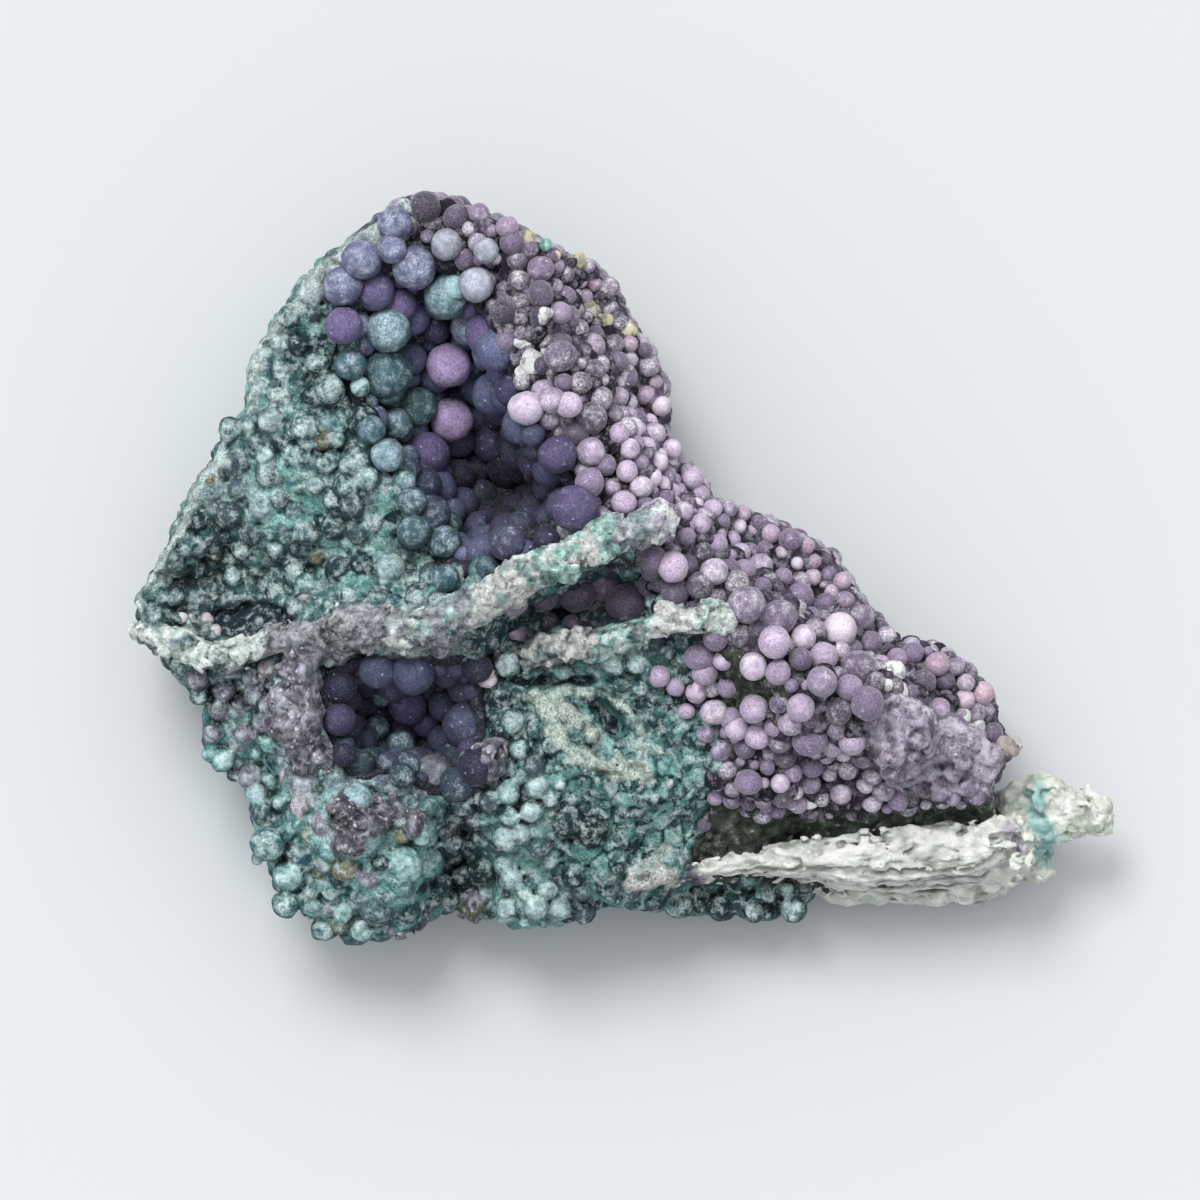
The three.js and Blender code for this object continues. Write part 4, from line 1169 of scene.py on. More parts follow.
def distance_to_line(x, y, line):
    """Distance in the view, in millimetres, from places to a line through points."""
    nearest = np.full(np.shape(x), 1e3)
    for (ax, ay), (bx, by) in zip(line, line[1:]):
        dx, dy = bx - ax, by - ay
        along = np.clip(((x - ax) * dx + (y - ay) * dy) / (dx * dx + dy * dy), 0, 1)
        nearest = np.minimum(nearest, np.hypot(x - ax - along * dx, y - ay - along * dy))
    return nearest


def depth_inside(x, y, polygon):
    """Distance in from a polygon's edge, below zero outside it."""
    edge = distance_to_line(x, y, np.vstack([polygon, polygon[:1]]))
    return np.where(inside(polygon, x, y), edge, -edge)


PIT_EDGE = 0.7


def relief(x, y):
    """How far the rock's surface is raised by its veins and sunk by its pits, in millimetres."""
    rise = np.zeros(np.shape(x))
    wander = 0.7 * rough(x, y, 0 * x, 2.2, 3, 33)
    for _, amount, half_px, line in VEINS:
        share = 1.2 - (distance_to_line(x, y, places(line)) + wander) / (half_px * MM_PER_PX)
        rise = np.maximum(rise, amount * np.clip(share * 2.5, 0, 1))
    for depth, polygon in PITS:
        rise = rise - depth * np.clip(depth_inside(x, y, places(polygon)) / PIT_EDGE, 0, 1)
    return rise


JITTER_SIZE = 4096
CELL_MIX = (73856093, 19349663, 83492791)
SEED_MIX = 7919
JITTER = np.random.default_rng(17).random((JITTER_SIZE, 4)).astype(np.float32)


def plates(x, y, z, size, seed):
    """Irregular plates: how far a place is from its plate's edge and middle, and a random value for each."""
    u, v, w = x / size, y / size, z / size
    cells = [np.floor(c).astype(np.int64) for c in (u, v, w)]
    best = np.full(np.shape(x), 99.0)
    second = np.full(np.shape(x), 99.0)
    value = np.zeros(np.shape(x))
    for i in (-1, 0, 1):
        for j in (-1, 0, 1):
            for k in (-1, 0, 1):
                a, b, c = cells[0] + i, cells[1] + j, cells[2] + k
                mixed = a * CELL_MIX[0] ^ b * CELL_MIX[1] ^ c * CELL_MIX[2] ^ seed * SEED_MIX
                pick = JITTER[mixed % JITTER_SIZE]
                away = (a + pick[..., 0] - u) ** 2 + (b + pick[..., 1] - v) ** 2 + (c + pick[..., 2] - w) ** 2
                closer = away < best
                second = np.where(closer, best, np.minimum(second, away))
                value = np.where(closer, pick[..., 3], value)
                best = np.minimum(best, away)
    return (np.sqrt(second) - np.sqrt(best)) * size, np.sqrt(best) * size, value


LUMP_SIZE = 2.7
LUMP_RADIUS = 1.75


def lumps(x, y, z):
    """Low round lumps side by side: their height, and a random value for each."""
    _, middle, value = plates(x, y, z, LUMP_SIZE, 19)
    return np.sqrt(np.clip(LUMP_RADIUS ** 2 - middle ** 2, 0, None)), value


def rock_surface(block):
    """Field of the rock with its veins, pits, small relief and hollows, and of the plain form under it."""
    x, y, z = block.across, block.along, block.level
    plain = body_field(x, y, z - relief(x, y))
    field = plain.copy()
    near = np.abs(field) < 3.5
    at = (block.x[near], block.y[near], block.z[near])
    field[near] += 0.7 * rough(*at, 6.0, 4, 2) * np.clip(at[2] / 3.0, 0, 1)
    for hollow in (upper_hollow, lower_hollow):
        field = smooth_max(field, -hollow.field(x, y, z), 0.6)
    return np.maximum(field, -z), plain


# The rock's core, just under the skins that show

CORE_SUNK = 0.6
CORE_BOX = ((-76, -60, -1.8), (76, 60, 52))


def make_core():
    block = Block(*CORE_BOX, ROCK_STEP)
    surface, _ = rock_surface(block)
    block.field = np.maximum(surface + CORE_SUNK, -block.z).astype(np.float32)
    piece = block.mesh("rock_core", adaptivity=0.1)
    points = points_of(piece)
    # The core's colours are halved, as painted shade in the gaps it shows through
    set_tint(piece, rock_colour(points) * 0.5, np.full(len(points), 0.2))
    return finish_piece(piece, rock_material(), "rock", "rock")


# Skins: what shows of the rock, with domes grown into it

SKIN_THICKNESS = 2.6
SKIN_BOTTOM = -1.2
PROBE = 1.3
PLATE_SIZE = 3.4
FACET_SIZE = 0.9
CRACK_WIDTH = 0.34

# How bright the crust is at places in the view, against what its colours give
BRIGHT_SPOTS = [
    (310, 300, 1.0), (300, 400, 0.9), (340, 470, 1.1), (300, 530, 1.3), (370, 560, 1.1), (220, 560, 0.75),
    (260, 600, 0.5), (180, 600, 0.8), (210, 700, 1.2), (250, 760, 1.55), (300, 800, 1.6), (350, 860, 1.7),
    (310, 910, 1.5), (420, 860, 1.6), (460, 850, 0.4), (520, 840, 1.35), (540, 890, 1.2), (520, 700, 0.8),
    (580, 650, 1.1), (640, 700, 1.05), (660, 780, 1.1), (590, 830, 0.6), (620, 870, 0.8), (700, 905, 0.8),
]
BRIGHT_MAP = weighed_map(BRIGHT_SPOTS)


class Skin:
    """A shell over part of the rock with domes fused to it."""

    def __init__(self, name, region, top, seed, crack, grain, lumpy, kinds, facets=0.0):
        self.name = name
        self.polygon = places(region)
        self.domes = Grapes(seed)
        self.crack = crack
        self.grain = grain
        self.lumpy = lumpy
        self.kinds = kinds
        self.facets = facets
        low = [*(self.polygon.min(0) - 2), SKIN_BOTTOM]
        high = [*(self.polygon.max(0) + 2), top]
        self.block = Block(low, high, FINE_STEP)

    def shape(self, soft=0.35):
        """The rock's surface with plates, facets and lumps, cut to a thin shell, and the domes on it."""
        block = self.block
        surface, plain = rock_surface(block)
        near = np.abs(surface) < 2.0
        at = (block.x[near], block.y[near], block.z[near])
        edge, _, value = plates(*at, PLATE_SIZE, 5)
        strength = self.crack(at[0], at[1])
        druse = np.clip(depth_inside(at[0], at[1], places(DRUSE_ZONE)) + 0.6, 0, 1) * (at[2] > 20)
        _, _, facet = plates(*at, FACET_SIZE, 15)
        surface[near] -= np.where(druse > 0, 0.45 * druse, 0.8 * self.facets) * (facet - 0.3)
        surface[near] -= 0.8 * druse * lumps(*at)[0]
        rise, _ = lumps(*at)
        surface[near] -= strength * (0.7 * (value - 0.4) - 0.8 * np.clip(1 - edge / CRACK_WIDTH, 0, 1))
        surface[near] -= self.lumpy * rise * (1 - np.clip(strength, 0, 1))
        surface[near] += self.grain * rough(*at, 1.1, 3, 6)
        within = depth_inside(block.across, block.along, self.polygon)
        under = plain + SKIN_THICKNESS
        block.field = np.maximum(np.maximum(surface, -under), -within).astype(np.float32)
        for index, (centre, radius) in enumerate(zip(self.domes.centres, self.domes.radii)):
            block.add_ball(centre, radius, soft, owner=index)
        near = np.abs(block.field) < 1.0
        at = (block.x[near], block.y[near], block.z[near])
        block.field[near] += (0.1 + 0.5 * self.grain) * rough(*at, 1.2, 3, 8)
        block.field = np.maximum(block.field, 0.05 - block.level)

    def piece(self, material, slot):
        piece = self.block.mesh(self.name, adaptivity=0.004)
        points, normals = points_of(piece), normals_of(piece)
        colours, frost = self.paint(points, normals)
        set_tint(piece, colours, frost)
        return finish_piece(piece, material, slot, "rock")

    def paint(self, points, normals):
        """Colours and frost: the rock's, each lump's and dome's own, painted shade and powder in the gaps,
        then the marks.
        """
        x, y, z = points.T
        crevice = np.clip(1 - self.block.field_at(points + normals * PROBE) / PROBE, 0, 1)
        mint = np.clip(cover("mint", x, y) * 3.0, 0, 1)
        cracked = self.crack(x, y)
        colours = rock_colour(points)
        frost = np.full(len(points), 0.4)
        owner = self.block.owners(points)
        owned = owner >= 0
        _, value = lumps(x, y, z)
        names = self.kinds[(value * 0.999 * len(self.kinds)).astype(int)]
        of_lump = np.array([DOME_COLOURS[name] for name in np.unique(names)])
        of_lump = of_lump[np.searchsorted(np.unique(names), names)]
        kept = np.clip(np.maximum(cracked, 2 * cover("moss", x, y)), 0, 1)
        colours = mix(colours, of_lump, 0.4 * (1 - kept))
        which = owner[owned]
        rise = (z[owned] - self.domes.centres[which, 2]) / self.domes.radii[which]
        own = self.domes.tints[which] * (1 + 0.3 * noise(*points[owned].T, 1.4, 9))[:, None]
        colours[owned] = mix(colours[owned], own, np.clip(rise * 2 + 1.0, 0, 1))
        frost[owned] = self.domes.frosts[which]
        frost = frost * np.clip(1.5 * normals[:, 2] - 0.2, 0.1, 1)
        shades = plate_shades(points, FACET_SIZE, 15, 0.9)
        colours = colours * (1 - self.facets + self.facets * shades)[:, None]
        # Gaps are darkened as painted shade, or filled with mint powder where the cover is mint
        fill = np.clip(rough(x, y, z, 3.0, 3, 83) * 1.8 + 0.45, 0, 1)
        powder = mottled(points, MINT, TEAL, WHITE_MINT, 1.5, 81)
        colours = mix(colours, colours * 0.2, crevice * (1.3 - mint) * 1.2)
        dusted = 0.7 * np.clip(crevice * 2.0 - 0.3, 0, 1) * mint * fill * (1 - np.clip(cracked, 0, 1))
        colours = mix(colours, powder, dusted)
        # Deeper gaps get more painted shade
        colours = mix(colours, colours * 0.15, np.clip(crevice * 1.8 - 0.75, 0, 0.85))
        edge, _, _ = plates(x, y, z, PLATE_SIZE, 5)
        crack = np.clip(1.2 - edge / CRACK_WIDTH, 0, 1) * np.clip(cracked * 1.5 - 0.4, 0, 1)
        colours = mix(colours, CRACK_DARK, crack * 0.9)
        if self.facets:
            pale = np.clip(bilinear(PALE_MAP, x, y) - 0.8, 0, 0.25) * np.clip(z - height(x, y) + 3, 0, 1)
            colours = mix(colours, PURPLE, 2.4 * pale)
        else:
            colours = np.minimum(colours * bilinear(BRIGHT_MAP, x, y)[:, None], 0.9)
        return self.paint_marks(points, colours, frost)

    def paint_marks(self, points, colours, frost):
        """The druse with pale frost and a painted highlight along its crest, the green places, the veins, the
        pits with painted shade, and the ochre spots.
        """
        x, y, z = points.T
        zone = np.clip(depth_inside(x, y, places(DRUSE_ZONE)) * 0.8 + 0.6 + rough(x, y, z, 3, 2, 87), 0, 1)
        paint = mottled(points, DRUSE_PURPLE, PURPLE * 0.7, DRUSE_GREY * 1.5, 1.2, 88)
        paint = paint * plate_shades(points, FACET_SIZE, 15, 0.45)[:, None]
        # The druse's crest is painted white-lilac: partly its pale frost, partly a painted highlight where
        # the light catches it
        bright = 1.2 - (distance_to_line(x, y, places(DRUSE_FROST_AND_HIGHLIGHT_LINE)) + 2.4 * rough(x, y, z, 1.6, 4, 89)) / 1.9
        paint = mix(paint, WHITE_LILAC, np.clip(bright * 2, 0, 0.9))
        fleck = np.clip((rough(x, y, z, 0.9, 3, 96) - 0.22) * 5, 0, 0.9)
        paint = mix(paint, WHITE_LILAC, fleck)
        colours = mix(colours, paint, zone * (z > 20))
        frost = np.maximum(frost, 0.8 * zone)
        for green in (MOSS_STRIP, MOSS_PATCH):
            grown = np.clip(depth_inside(x, y, places(green)) + 0.4 + 1.2 * rough(x, y, z, 2.0, 3, 99), 0, 1)
            colours = mix(colours, mottled(points, *COVER_COLOURS["moss"], 0.9, 100), grown)
            frost = frost * (1 - grown)
        wander_x = x + 0.5 * rough(x, y, z, 1.5, 2, 91)
        wander_y = y + 0.5 * rough(x, y, z, 1.5, 2, 93)
        top = np.clip((z - height(x, y)) * 0.6 + 1.9, 0, 1)
        widen = 0.7 * rough(x, y, 0 * x, 2.2, 3, 33)
        for seed, (colour, _, half_px, line) in enumerate(VEINS):
            near = 1.35 - (distance_to_line(wander_x, wander_y, places(line)) + widen) / (half_px * MM_PER_PX)
            paint = mottled(points, colour, colour * 0.65, np.minimum(colour * 1.15, 0.95), 0.9, 60 + seed)
            share = np.clip(near * 3, 0, 1) * top * np.clip(1.0 + 0.7 * rough(x, y, z, 1.2, 3, 94), 0, 1)
            colours = mix(colours, paint, share)
            frost = frost * (1 - 0.6 * share)
        # Pits are painted dark navy, as painted shade in the sunken places
        for _, polygon in PITS:
            depth = depth_inside(wander_x, wander_y, places(polygon))
            dark = PIT_SHADE * (1 + 0.5 * noise(x, y, z, 1.0, 95))[:, None]
            colours = mix(colours, dark, np.clip(depth * 2, 0, 1))
        for px, py, radius_px in OCHRE_SPOTS:
            cx, cy = place(px, py)
            near = 1 - np.hypot(wander_x - cx, wander_y - cy) / (radius_px * MM_PER_PX)
            near = near + 0.9 * noise(x, y, z, 0.9, 97)
            colours = mix(colours, mottled(points, OCHRE, OCHRE * 0.4, CREAM, 1.0, 98), np.clip(near, 0, 0.5))
        return colours, frost


def slab_cracks(x, y):
    return np.clip(depth_inside(x, y, places(SLAB)) + 0.8, 0.1, 1)


def wall_cracks(x, y):
    return np.clip(cover("mint", x, y) * 0.8, 0.1, 0.5)


def plain_cracks(x, y):
    return np.full(np.shape(x), 0.15)


def dome_tint(kind, random):
    return DOME_COLOURS[kind] * random.uniform(0.82, 1.18)


def add_domes(domes, listed):
    for px, py, radius_px, lift, kind in listed:
        x, y = place(px, py)
        radius = radius_px * MM_PER_PX
        base = float(height(np.array([x]), np.array([y]))[0] + relief(np.array([x]), np.array([y]))[0])
        frost = 1.0 if kind in ("white", "mint", "teal") else 0.45
        domes.add(grape_at(x, y, base, radius, lift), radius, dome_tint(kind, domes.random), frost)


def grape_at(x, y, base, radius, lift):
    return np.array([x, y, base + lift * radius])


TOP_WITHIN = 0.985
HOLLOW_MARGIN = 0.2


def on_top(x, y):
    """Whether a place is on the rock's upper side, away from its edge and its hollows."""
    dx, dy = np.array([x - BODY_HUB[0]]), np.array([y - BODY_HUB[1]])
    if np.hypot(dx, dy)[0] > TOP_WITHIN * reach(BODY_REACH, dx, dy)[0]:
        return False
    for hollow in (upper_hollow, lower_hollow):
        out, full, _, _ = hollow.parts(np.array([x]), np.array([y]), 0.0)
        if out[0] < full[0] + HOLLOW_MARGIN:
            return False
    return True


def fill_domes(domes, region, radii, tries, lifts, spacing, kinds, holes=()):
    polygon = places(region)
    voids = [places(hole) for hole in holes]
    random = domes.random
    low, high = polygon.min(0), polygon.max(0)
    for _ in range(tries):
        x, y = random.uniform(low, high)
        if not inside(polygon, x, y) or any(inside(hole, x, y) for hole in voids) or not on_top(x, y):
            continue
        radius = random.uniform(*radii)
        base = float(height(np.array([x]), np.array([y]))[0])
        centre = grape_at(x, y, base, radius, random.uniform(*lifts))
        if domes.free(centre, radius, spacing):
            domes.add(centre, radius, dome_tint(random.choice(kinds), random), random.uniform(0.3, 1.0))


FLANK_LOWEST = 0.12
FLANK_SHARE_KEPT = 0.15
FLOOR_GAP = 0.5


def fill_flank(grapes, turn_from, turn_to, radii, tries, spacing, tint, sunk=0.5):
    """Grapes on the steep side under the outline, fewer lower down."""
    random = grapes.random
    for _ in range(tries):
        turn = math.radians(random.uniform(turn_from, turn_to))
        dx, dy = np.array([math.cos(turn)]), np.array([math.sin(turn)])
        full = float(reach(BODY_REACH, dx, dy)[0])
        edge = float(height(BODY_HUB[0] + dx * full * EDGE_AT, BODY_HUB[1] + dy * full * EDGE_AT)[0])
        share = random.uniform(FLANK_LOWEST, 1.0)
        if random.random() > share + FLANK_SHARE_KEPT:
            continue
        radius = random.uniform(*radii)
        out = full * np.interp(share, FLANK_HEIGHTS, FLANK_REACHES) - sunk * radius
        centre = np.array([BODY_HUB[0] + dx[0] * out, BODY_HUB[1] + dy[0] * out, edge * share])
        if centre[2] > radius + FLOOR_GAP and grapes.free(centre, radius, spacing):
            grapes.add(centre, radius, tint(random, share), random.uniform(0.2, 0.8))


# The flank grapes' colours darken towards the bottom of the flank
def teal_flank_tint(random, share):
    kind = random.choice(["teal", "grey", "dark", "dark", "mint", "teal"])
    return dome_tint(kind, random) * (0.65 + 0.35 * share)


def pale_flank_tint(random, share):
    kind = random.choice(["white", "mint", "teal", "grey"])
    return dome_tint(kind, random) * (0.7 + 0.3 * share)


def purple_flank_tint(random, share):
    return DARK_PURPLE + (LILAC - DARK_PURPLE) * random.random() ** 1.5 * (0.3 + 0.6 * share)


def ground_flank_tint(random, share):
    return DARK_PURPLE * random.uniform(0.6, 1.3)


TEAL_KINDS = np.array(["teal", "grey", "mint", "grey", "teal", "white", "dark"])


def make_teal_skins(material):
    wall = Skin("teal_wall", WALL_REGION, 47, 31, wall_cracks, 0.2, 0.75, TEAL_KINDS)
    add_domes(wall.domes, WALL_DOMES)
    kinds = ["teal", "grey", "grey", "mint", "dark", "white", "grey"]
    fill_domes(wall.domes, WALL_REGION, (1.5, 2.6), 1500, (-0.55, 0.1), 0.8, kinds, [p for _, p in PITS])
    fill_domes(wall.domes, WALL_REGION, (0.8, 1.2), 500, (-0.4, 0.2), 0.95, kinds)
    fill_flank(wall.domes, 108, 162, (1.2, 2.6), 900, 0.85, pale_flank_tint, 0.55)
    fill_flank(wall.domes, 162, 182, (1.3, 2.5), 400, 0.8, teal_flank_tint, 0.4)
    wall.shape()
    wall.piece(material, "rock")

    lower = Skin("teal_lower_left", LOWER_REGION, 42, 32, plain_cracks, 0.2, 0.75, TEAL_KINDS)
    add_domes(lower.domes, LOWER_DOMES)
    kinds = ["teal", "mint", "grey", "white", "dark", "ash"]
    fill_domes(lower.domes, LOWER_REGION, (1.3, 2.3), 1200, (-0.2, 0.4), 0.8, kinds)
    fill_domes(lower.domes, LOWER_REGION, (0.7, 1.1), 700, (-0.2, 0.5), 0.9, kinds)
    fill_flank(lower.domes, 176, 252, (1.4, 2.7), 1300, 0.78, teal_flank_tint, 0.4)
    lower.shape()
    lower.piece(material, "rock")

    centre = Skin("teal_centre", CENTRE_REGION, 48, 33, slab_cracks, 0.22, 0.75, TEAL_KINDS)
    add_domes(centre.domes, CENTRE_DOMES)
    holes = [SLAB] + [p for _, p in PITS]
    kinds = ["teal", "mint", "grey", "dark"]
    fill_domes(centre.domes, CENTRE_REGION, (0.9, 1.8), 900, (-0.1, 0.5), 0.82, kinds, holes)
    fill_domes(centre.domes, SLAB, (0.5, 1.2), 300, (-0.7, -0.1), 1.0, ["teal", "dark"], [p for _, p in PITS])
    fill_flank(centre.domes, 246, 318, (1.3, 2.7), 1300, 0.78, teal_flank_tint, 0.4)
    centre.shape()
    centre.piece(material, "rock")


GROUND_KINDS = np.array(["ground", "ground", "shade", "violet"])
MOSS_KINDS = ["moss_dark", "moss_dark", "moss"]


def make_purple_ground(material):
    for name, region, turns, top, seed in (
        ("crest_ground", CREST_REGION, (36, 113), 49, 41), ("mound_ground", MOUND_REGION, (-18, 38), 47, 42)
    ):
        skin = Skin(name, region, top, seed, plain_cracks, 0.42, 0.3, GROUND_KINDS, 0.7)
        holes = [DRUSE_ZONE, MOSS_STRIP, MOSS_PATCH]
        fill_domes(skin.domes, region, (1.3, 2.0), 500, (-0.3, 0.2), 0.9, GROUND_KINDS, holes)
        fill_domes(skin.domes, region, (0.7, 1.3), 900, (-0.1, 0.4), 0.9, GROUND_KINDS, holes)
        for green in (MOSS_STRIP, MOSS_PATCH):
            fill_domes(skin.domes, green, (0.5, 1.1), 900, (-0.3, 0.5), 0.86, MOSS_KINDS)
        fill_flank(skin.domes, *turns, (1.0, 2.0), 700, 0.85, ground_flank_tint)
        skin.shape(0.25)
        skin.piece(material, "purple_grapes")


# The crusts that line the hollows

CRUST_GAP = 0.4
CRUST_THICKNESS = 1.8
CRUST_STEP = 0.5
UPPER_BOX = ((-46, -4, 6), (-2, 54, 46))
LOWER_BOX = ((-48, -37, 5), (-17, -9, 44))


def crust_block(hollow, low, high):
    block = Block(low, high, CRUST_STEP)
    x, y, z = block.across, block.along, block.level
    outside = hollow.field(x, y, z, CRUST_GAP)
    within = hollow.field(x, y, z, CRUST_GAP + CRUST_THICKNESS)
    field = np.maximum(outside, -within)
    block.field = np.maximum(field, body_field(x, y, z) - 0.2).astype(np.float32)
    return block


HOLLOW_COLOURS = {
    "haze": srgb(104, 106, 138), "navy": srgb(102, 108, 144), "violet": srgb(108, 95, 139),
    "pink": srgb(184, 160, 204), "coated": srgb(82, 118, 124), "mint": srgb(124, 176, 170),
    "pale": srgb(150, 150, 164), "teal": srgb(60, 96, 102), "deep": srgb(60, 56, 88),
}
HOLLOW_FROSTS = {"coated": 0.9, "mint": 1.0, "pale": 0.8, "teal": 0.7, "haze": 0.75}


# The painted brightness of a hollow's grapes at a place: painted shade around the deepest place, or towards
# the rim where the dimming is below zero
def lining_shade(lining, hollow, x, y):
    away = np.hypot(x - hollow.hub[0], y - hollow.hub[1]) / lining["dim_within"]
    return lining["brightness"] * (1 - lining["dimming"] * np.exp(-away ** 2))


def fill_hollow(grapes, hollow, heroes, lining, coating):
    inset = CRUST_GAP + CRUST_THICKNESS
    random = grapes.random
    for px, py, radius_px, lift, kind in heroes:
        x, y = place(px, py)
        radius = radius_px * MM_PER_PX
        base = float(hollow.wall(np.array([x]), np.array([y]), inset)[0])
        centre = grape_at(x, y, base, radius, lift)
        shade = lining_shade(lining, hollow, x, y)
        tint = HOLLOW_COLOURS[kind] * random.uniform(0.9, 1.1) * shade
        frost = HOLLOW_FROSTS.get(kind, 0.2) * random.uniform(0.7, 1.1) * min(shade, 1.0)
        grapes.add(centre, radius, tint, frost)
    for radii, tries, lift_up_to, spacing in lining["fills"]:
        for _ in range(tries):
            place_in_hollow(grapes, hollow, radii, lift_up_to, spacing, lining, coating)


def place_in_hollow(grapes, hollow, radii, lift_up_to, spacing, lining, coating):
    """One grape at a random place of the hollow's wall, if there is room for it."""
    inset = CRUST_GAP + CRUST_THICKNESS
    random = grapes.random
    turn = random.random() * 2 * math.pi
    share = 0.94 * math.sqrt(random.random())
    full = float(reach(hollow.reach, np.array([math.cos(turn)]), np.array([math.sin(turn)]))[0]) - inset
    x = hollow.hub[0] + math.cos(turn) * full * share
    y = hollow.hub[1] + math.sin(turn) * full * share
    base = float(hollow.wall(np.array([x]), np.array([y]), inset)[0])
    radius = random.uniform(*radii)
    centre = grape_at(x, y, base, radius, random.uniform(0.0, lift_up_to))
    if not grapes.free(centre, radius, spacing):
        return
    px, py = x / MM_PER_PX + MIDDLE_PX[0], MIDDLE_PX[1] - y / MM_PER_PX
    teal = coating(px, py) * random.uniform(0.5, 1.0)
    tint = HOLLOW_COLOURS[random.choice(["navy", "violet", "deep", "navy"])]
    tint = tint * random.uniform(0.8, 1.15) * (1 - teal) + HOLLOW_COLOURS["teal"] * teal
    shade = lining_shade(lining, hollow, x, y)
    grapes.add(centre, radius, tint * shade, (0.15 + 0.7 * teal) * min(shade, 1.0))


COATED_LEFT_PX = 392
COATED_TOP_PX = 300
COATED_LEAN = 0.3
COATED_LOWER_PX = 715
COATED_FADE_PX = 70


def upper_coating(px, py):
    """The left wall of the upper hollow is coated blue-green, more so lower down."""
    edge = COATED_LEFT_PX + COATED_LEAN * (py - COATED_TOP_PX)
    return float(np.clip((edge - px) / COATED_FADE_PX, 0, 1))


def lower_coating(px, py):
    """The lower hollow is coated blue-green along its lower side."""
    return float(np.clip((py - COATED_LOWER_PX) / COATED_FADE_PX, 0, 1))


def joined(name, parts):
    """One mesh object from several, keeping their colours."""
    bpy.ops.object.select_all(action="DESELECT")
    for part in parts:
        part.select_set(True)
    bpy.context.view_layer.objects.active = parts[0]
    bpy.ops.object.join()
    parts[0].name = name
    parts[0].data.name = name
    return parts[0]


def make_crust(name, node, hollow, heroes, box, lining, coating, seed, material):
    skin = crust_block(hollow, *box).mesh(name, adaptivity=0.02)
    points = points_of(skin)
    colours = mottled(points, HOLLOW_COLOURS["deep"], HOLLOW_DEEP, HOLLOW_COLOURS["navy"] * 0.7)
    # The crust behind the grapes is painted dark, as painted shade in the gaps between them, with the
    # lining's painted shade on top
    colours = 0.2 * colours * lining_shade(lining, hollow, points[:, 0], points[:, 1])[:, None]
    set_tint(skin, colours, np.full(len(points), 0.2))
    grapes = Grapes(seed)
    fill_hollow(grapes, hollow, heroes, lining, coating)
    balls = grapes.piece(name + "_balls", 0.05)
    piece = joined(name, [skin, balls])
    return finish_piece(piece, material, "hollow_grapes", node)


# The purple grapes outside

PALE_SPOTS = [
    (430, 210, .35), (500, 235, .4), (560, 265, .6), (600, 285, .75), (560, 330, .1), (515, 310, .05),
    (600, 330, .25), (640, 360, .8), (655, 400, .95), (600, 400, .45), (590, 440, .55), (640, 445, 1.1),
    (685, 480, 1.1), (612, 478, .6), (640, 500, .9), (702, 512, 1.0), (742, 518, 1.0), (792, 542, .95),
    (702, 552, .35), (745, 550, .55), (718, 590, .15), (760, 612, .05), (790, 600, .4), (835, 575, .85),
    (852, 618, .75), (780, 650, .5), (752, 636, .5), (735, 622, .0), (705, 645, .75), (712, 672, .55),
    (752, 712, .3), (742, 735, .85), (800, 692, .3), (850, 692, .55), (872, 640, .7), (900, 650, .3),
    (940, 662, .75), (985, 690, .9), (960, 742, .4), (900, 742, .3), (850, 762, .6), (792, 780, .7),
    (745, 780, .6), (762, 690, .15), (800, 722, .5), (850, 722, .5), (820, 660, .4),
    (600, 588, .45), (630, 605, .45), (570, 600, .45), (515, 602, .3), (545, 622, .4), (655, 585, .4),
]
PALE_MAP = weighed_map(PALE_SPOTS)


def purple_tint(random, x, y, lift):
    share = float(bilinear(PALE_MAP, np.array([x]), np.array([y]))[0])
    # Grapes that stand out further are painted paler, as painted light; the place's paleness and chance set
    # the rest
    share = np.clip(0.7 * share + 0.6 * np.clip(lift - 0.5, 0, 1) + random.uniform(-0.38, 0.36), 0, 1)
    if share < 0.5:
        return DARK_PURPLE + (PURPLE - DARK_PURPLE) * share * 2
    outer = np.clip((x + 0.9 * y - 22) / 14, 0, 1)
    pale = PALE_LILAC * (1 - outer) + DUSTY_PINK * outer
    return PURPLE + (pale - PURPLE) * (share - 0.5) * 2


def add_heroes(grapes, heroes):
    for px, py, radius_px, lift in heroes:
        x, y = place(px, py)
        radius = radius_px * MM_PER_PX
        base = float(height(np.array([x]), np.array([y]))[0])
        tint = purple_tint(grapes.random, x, y, lift)
        stretch = grapes.random.uniform(0.93, 1.05, 3)
        grapes.add(grape_at(x, y, base, radius, lift), radius, tint, grapes.random.random() ** 1.5, stretch)


def scatter_purple(grapes, region, radii, tries, lifts, spacing, holes):
    polygon = places(region)
    voids = [places(hole) for hole in holes]
    random = grapes.random
    low, high = polygon.min(0), polygon.max(0)
    for _ in range(tries):
        x, y = random.uniform(low, high)
        pale = float(bilinear(PALE_MAP, np.array([x]), np.array([y]))[0])
        if not inside(polygon, x, y) or any(inside(hole, x, y) for hole in voids) or not on_top(x, y):
            continue
        if random.random() > 0.08 + pale:
            continue
        radius = random.uniform(*radii)
        lift = random.uniform(*lifts)
        centre = grape_at(x, y, float(height(np.array([x]), np.array([y]))[0]), radius, lift)
        if grapes.free(centre, radius, spacing):
            grapes.add(centre, radius, purple_tint(random, x, y, lift * 0.8), random.random(), (1, 1, 1))


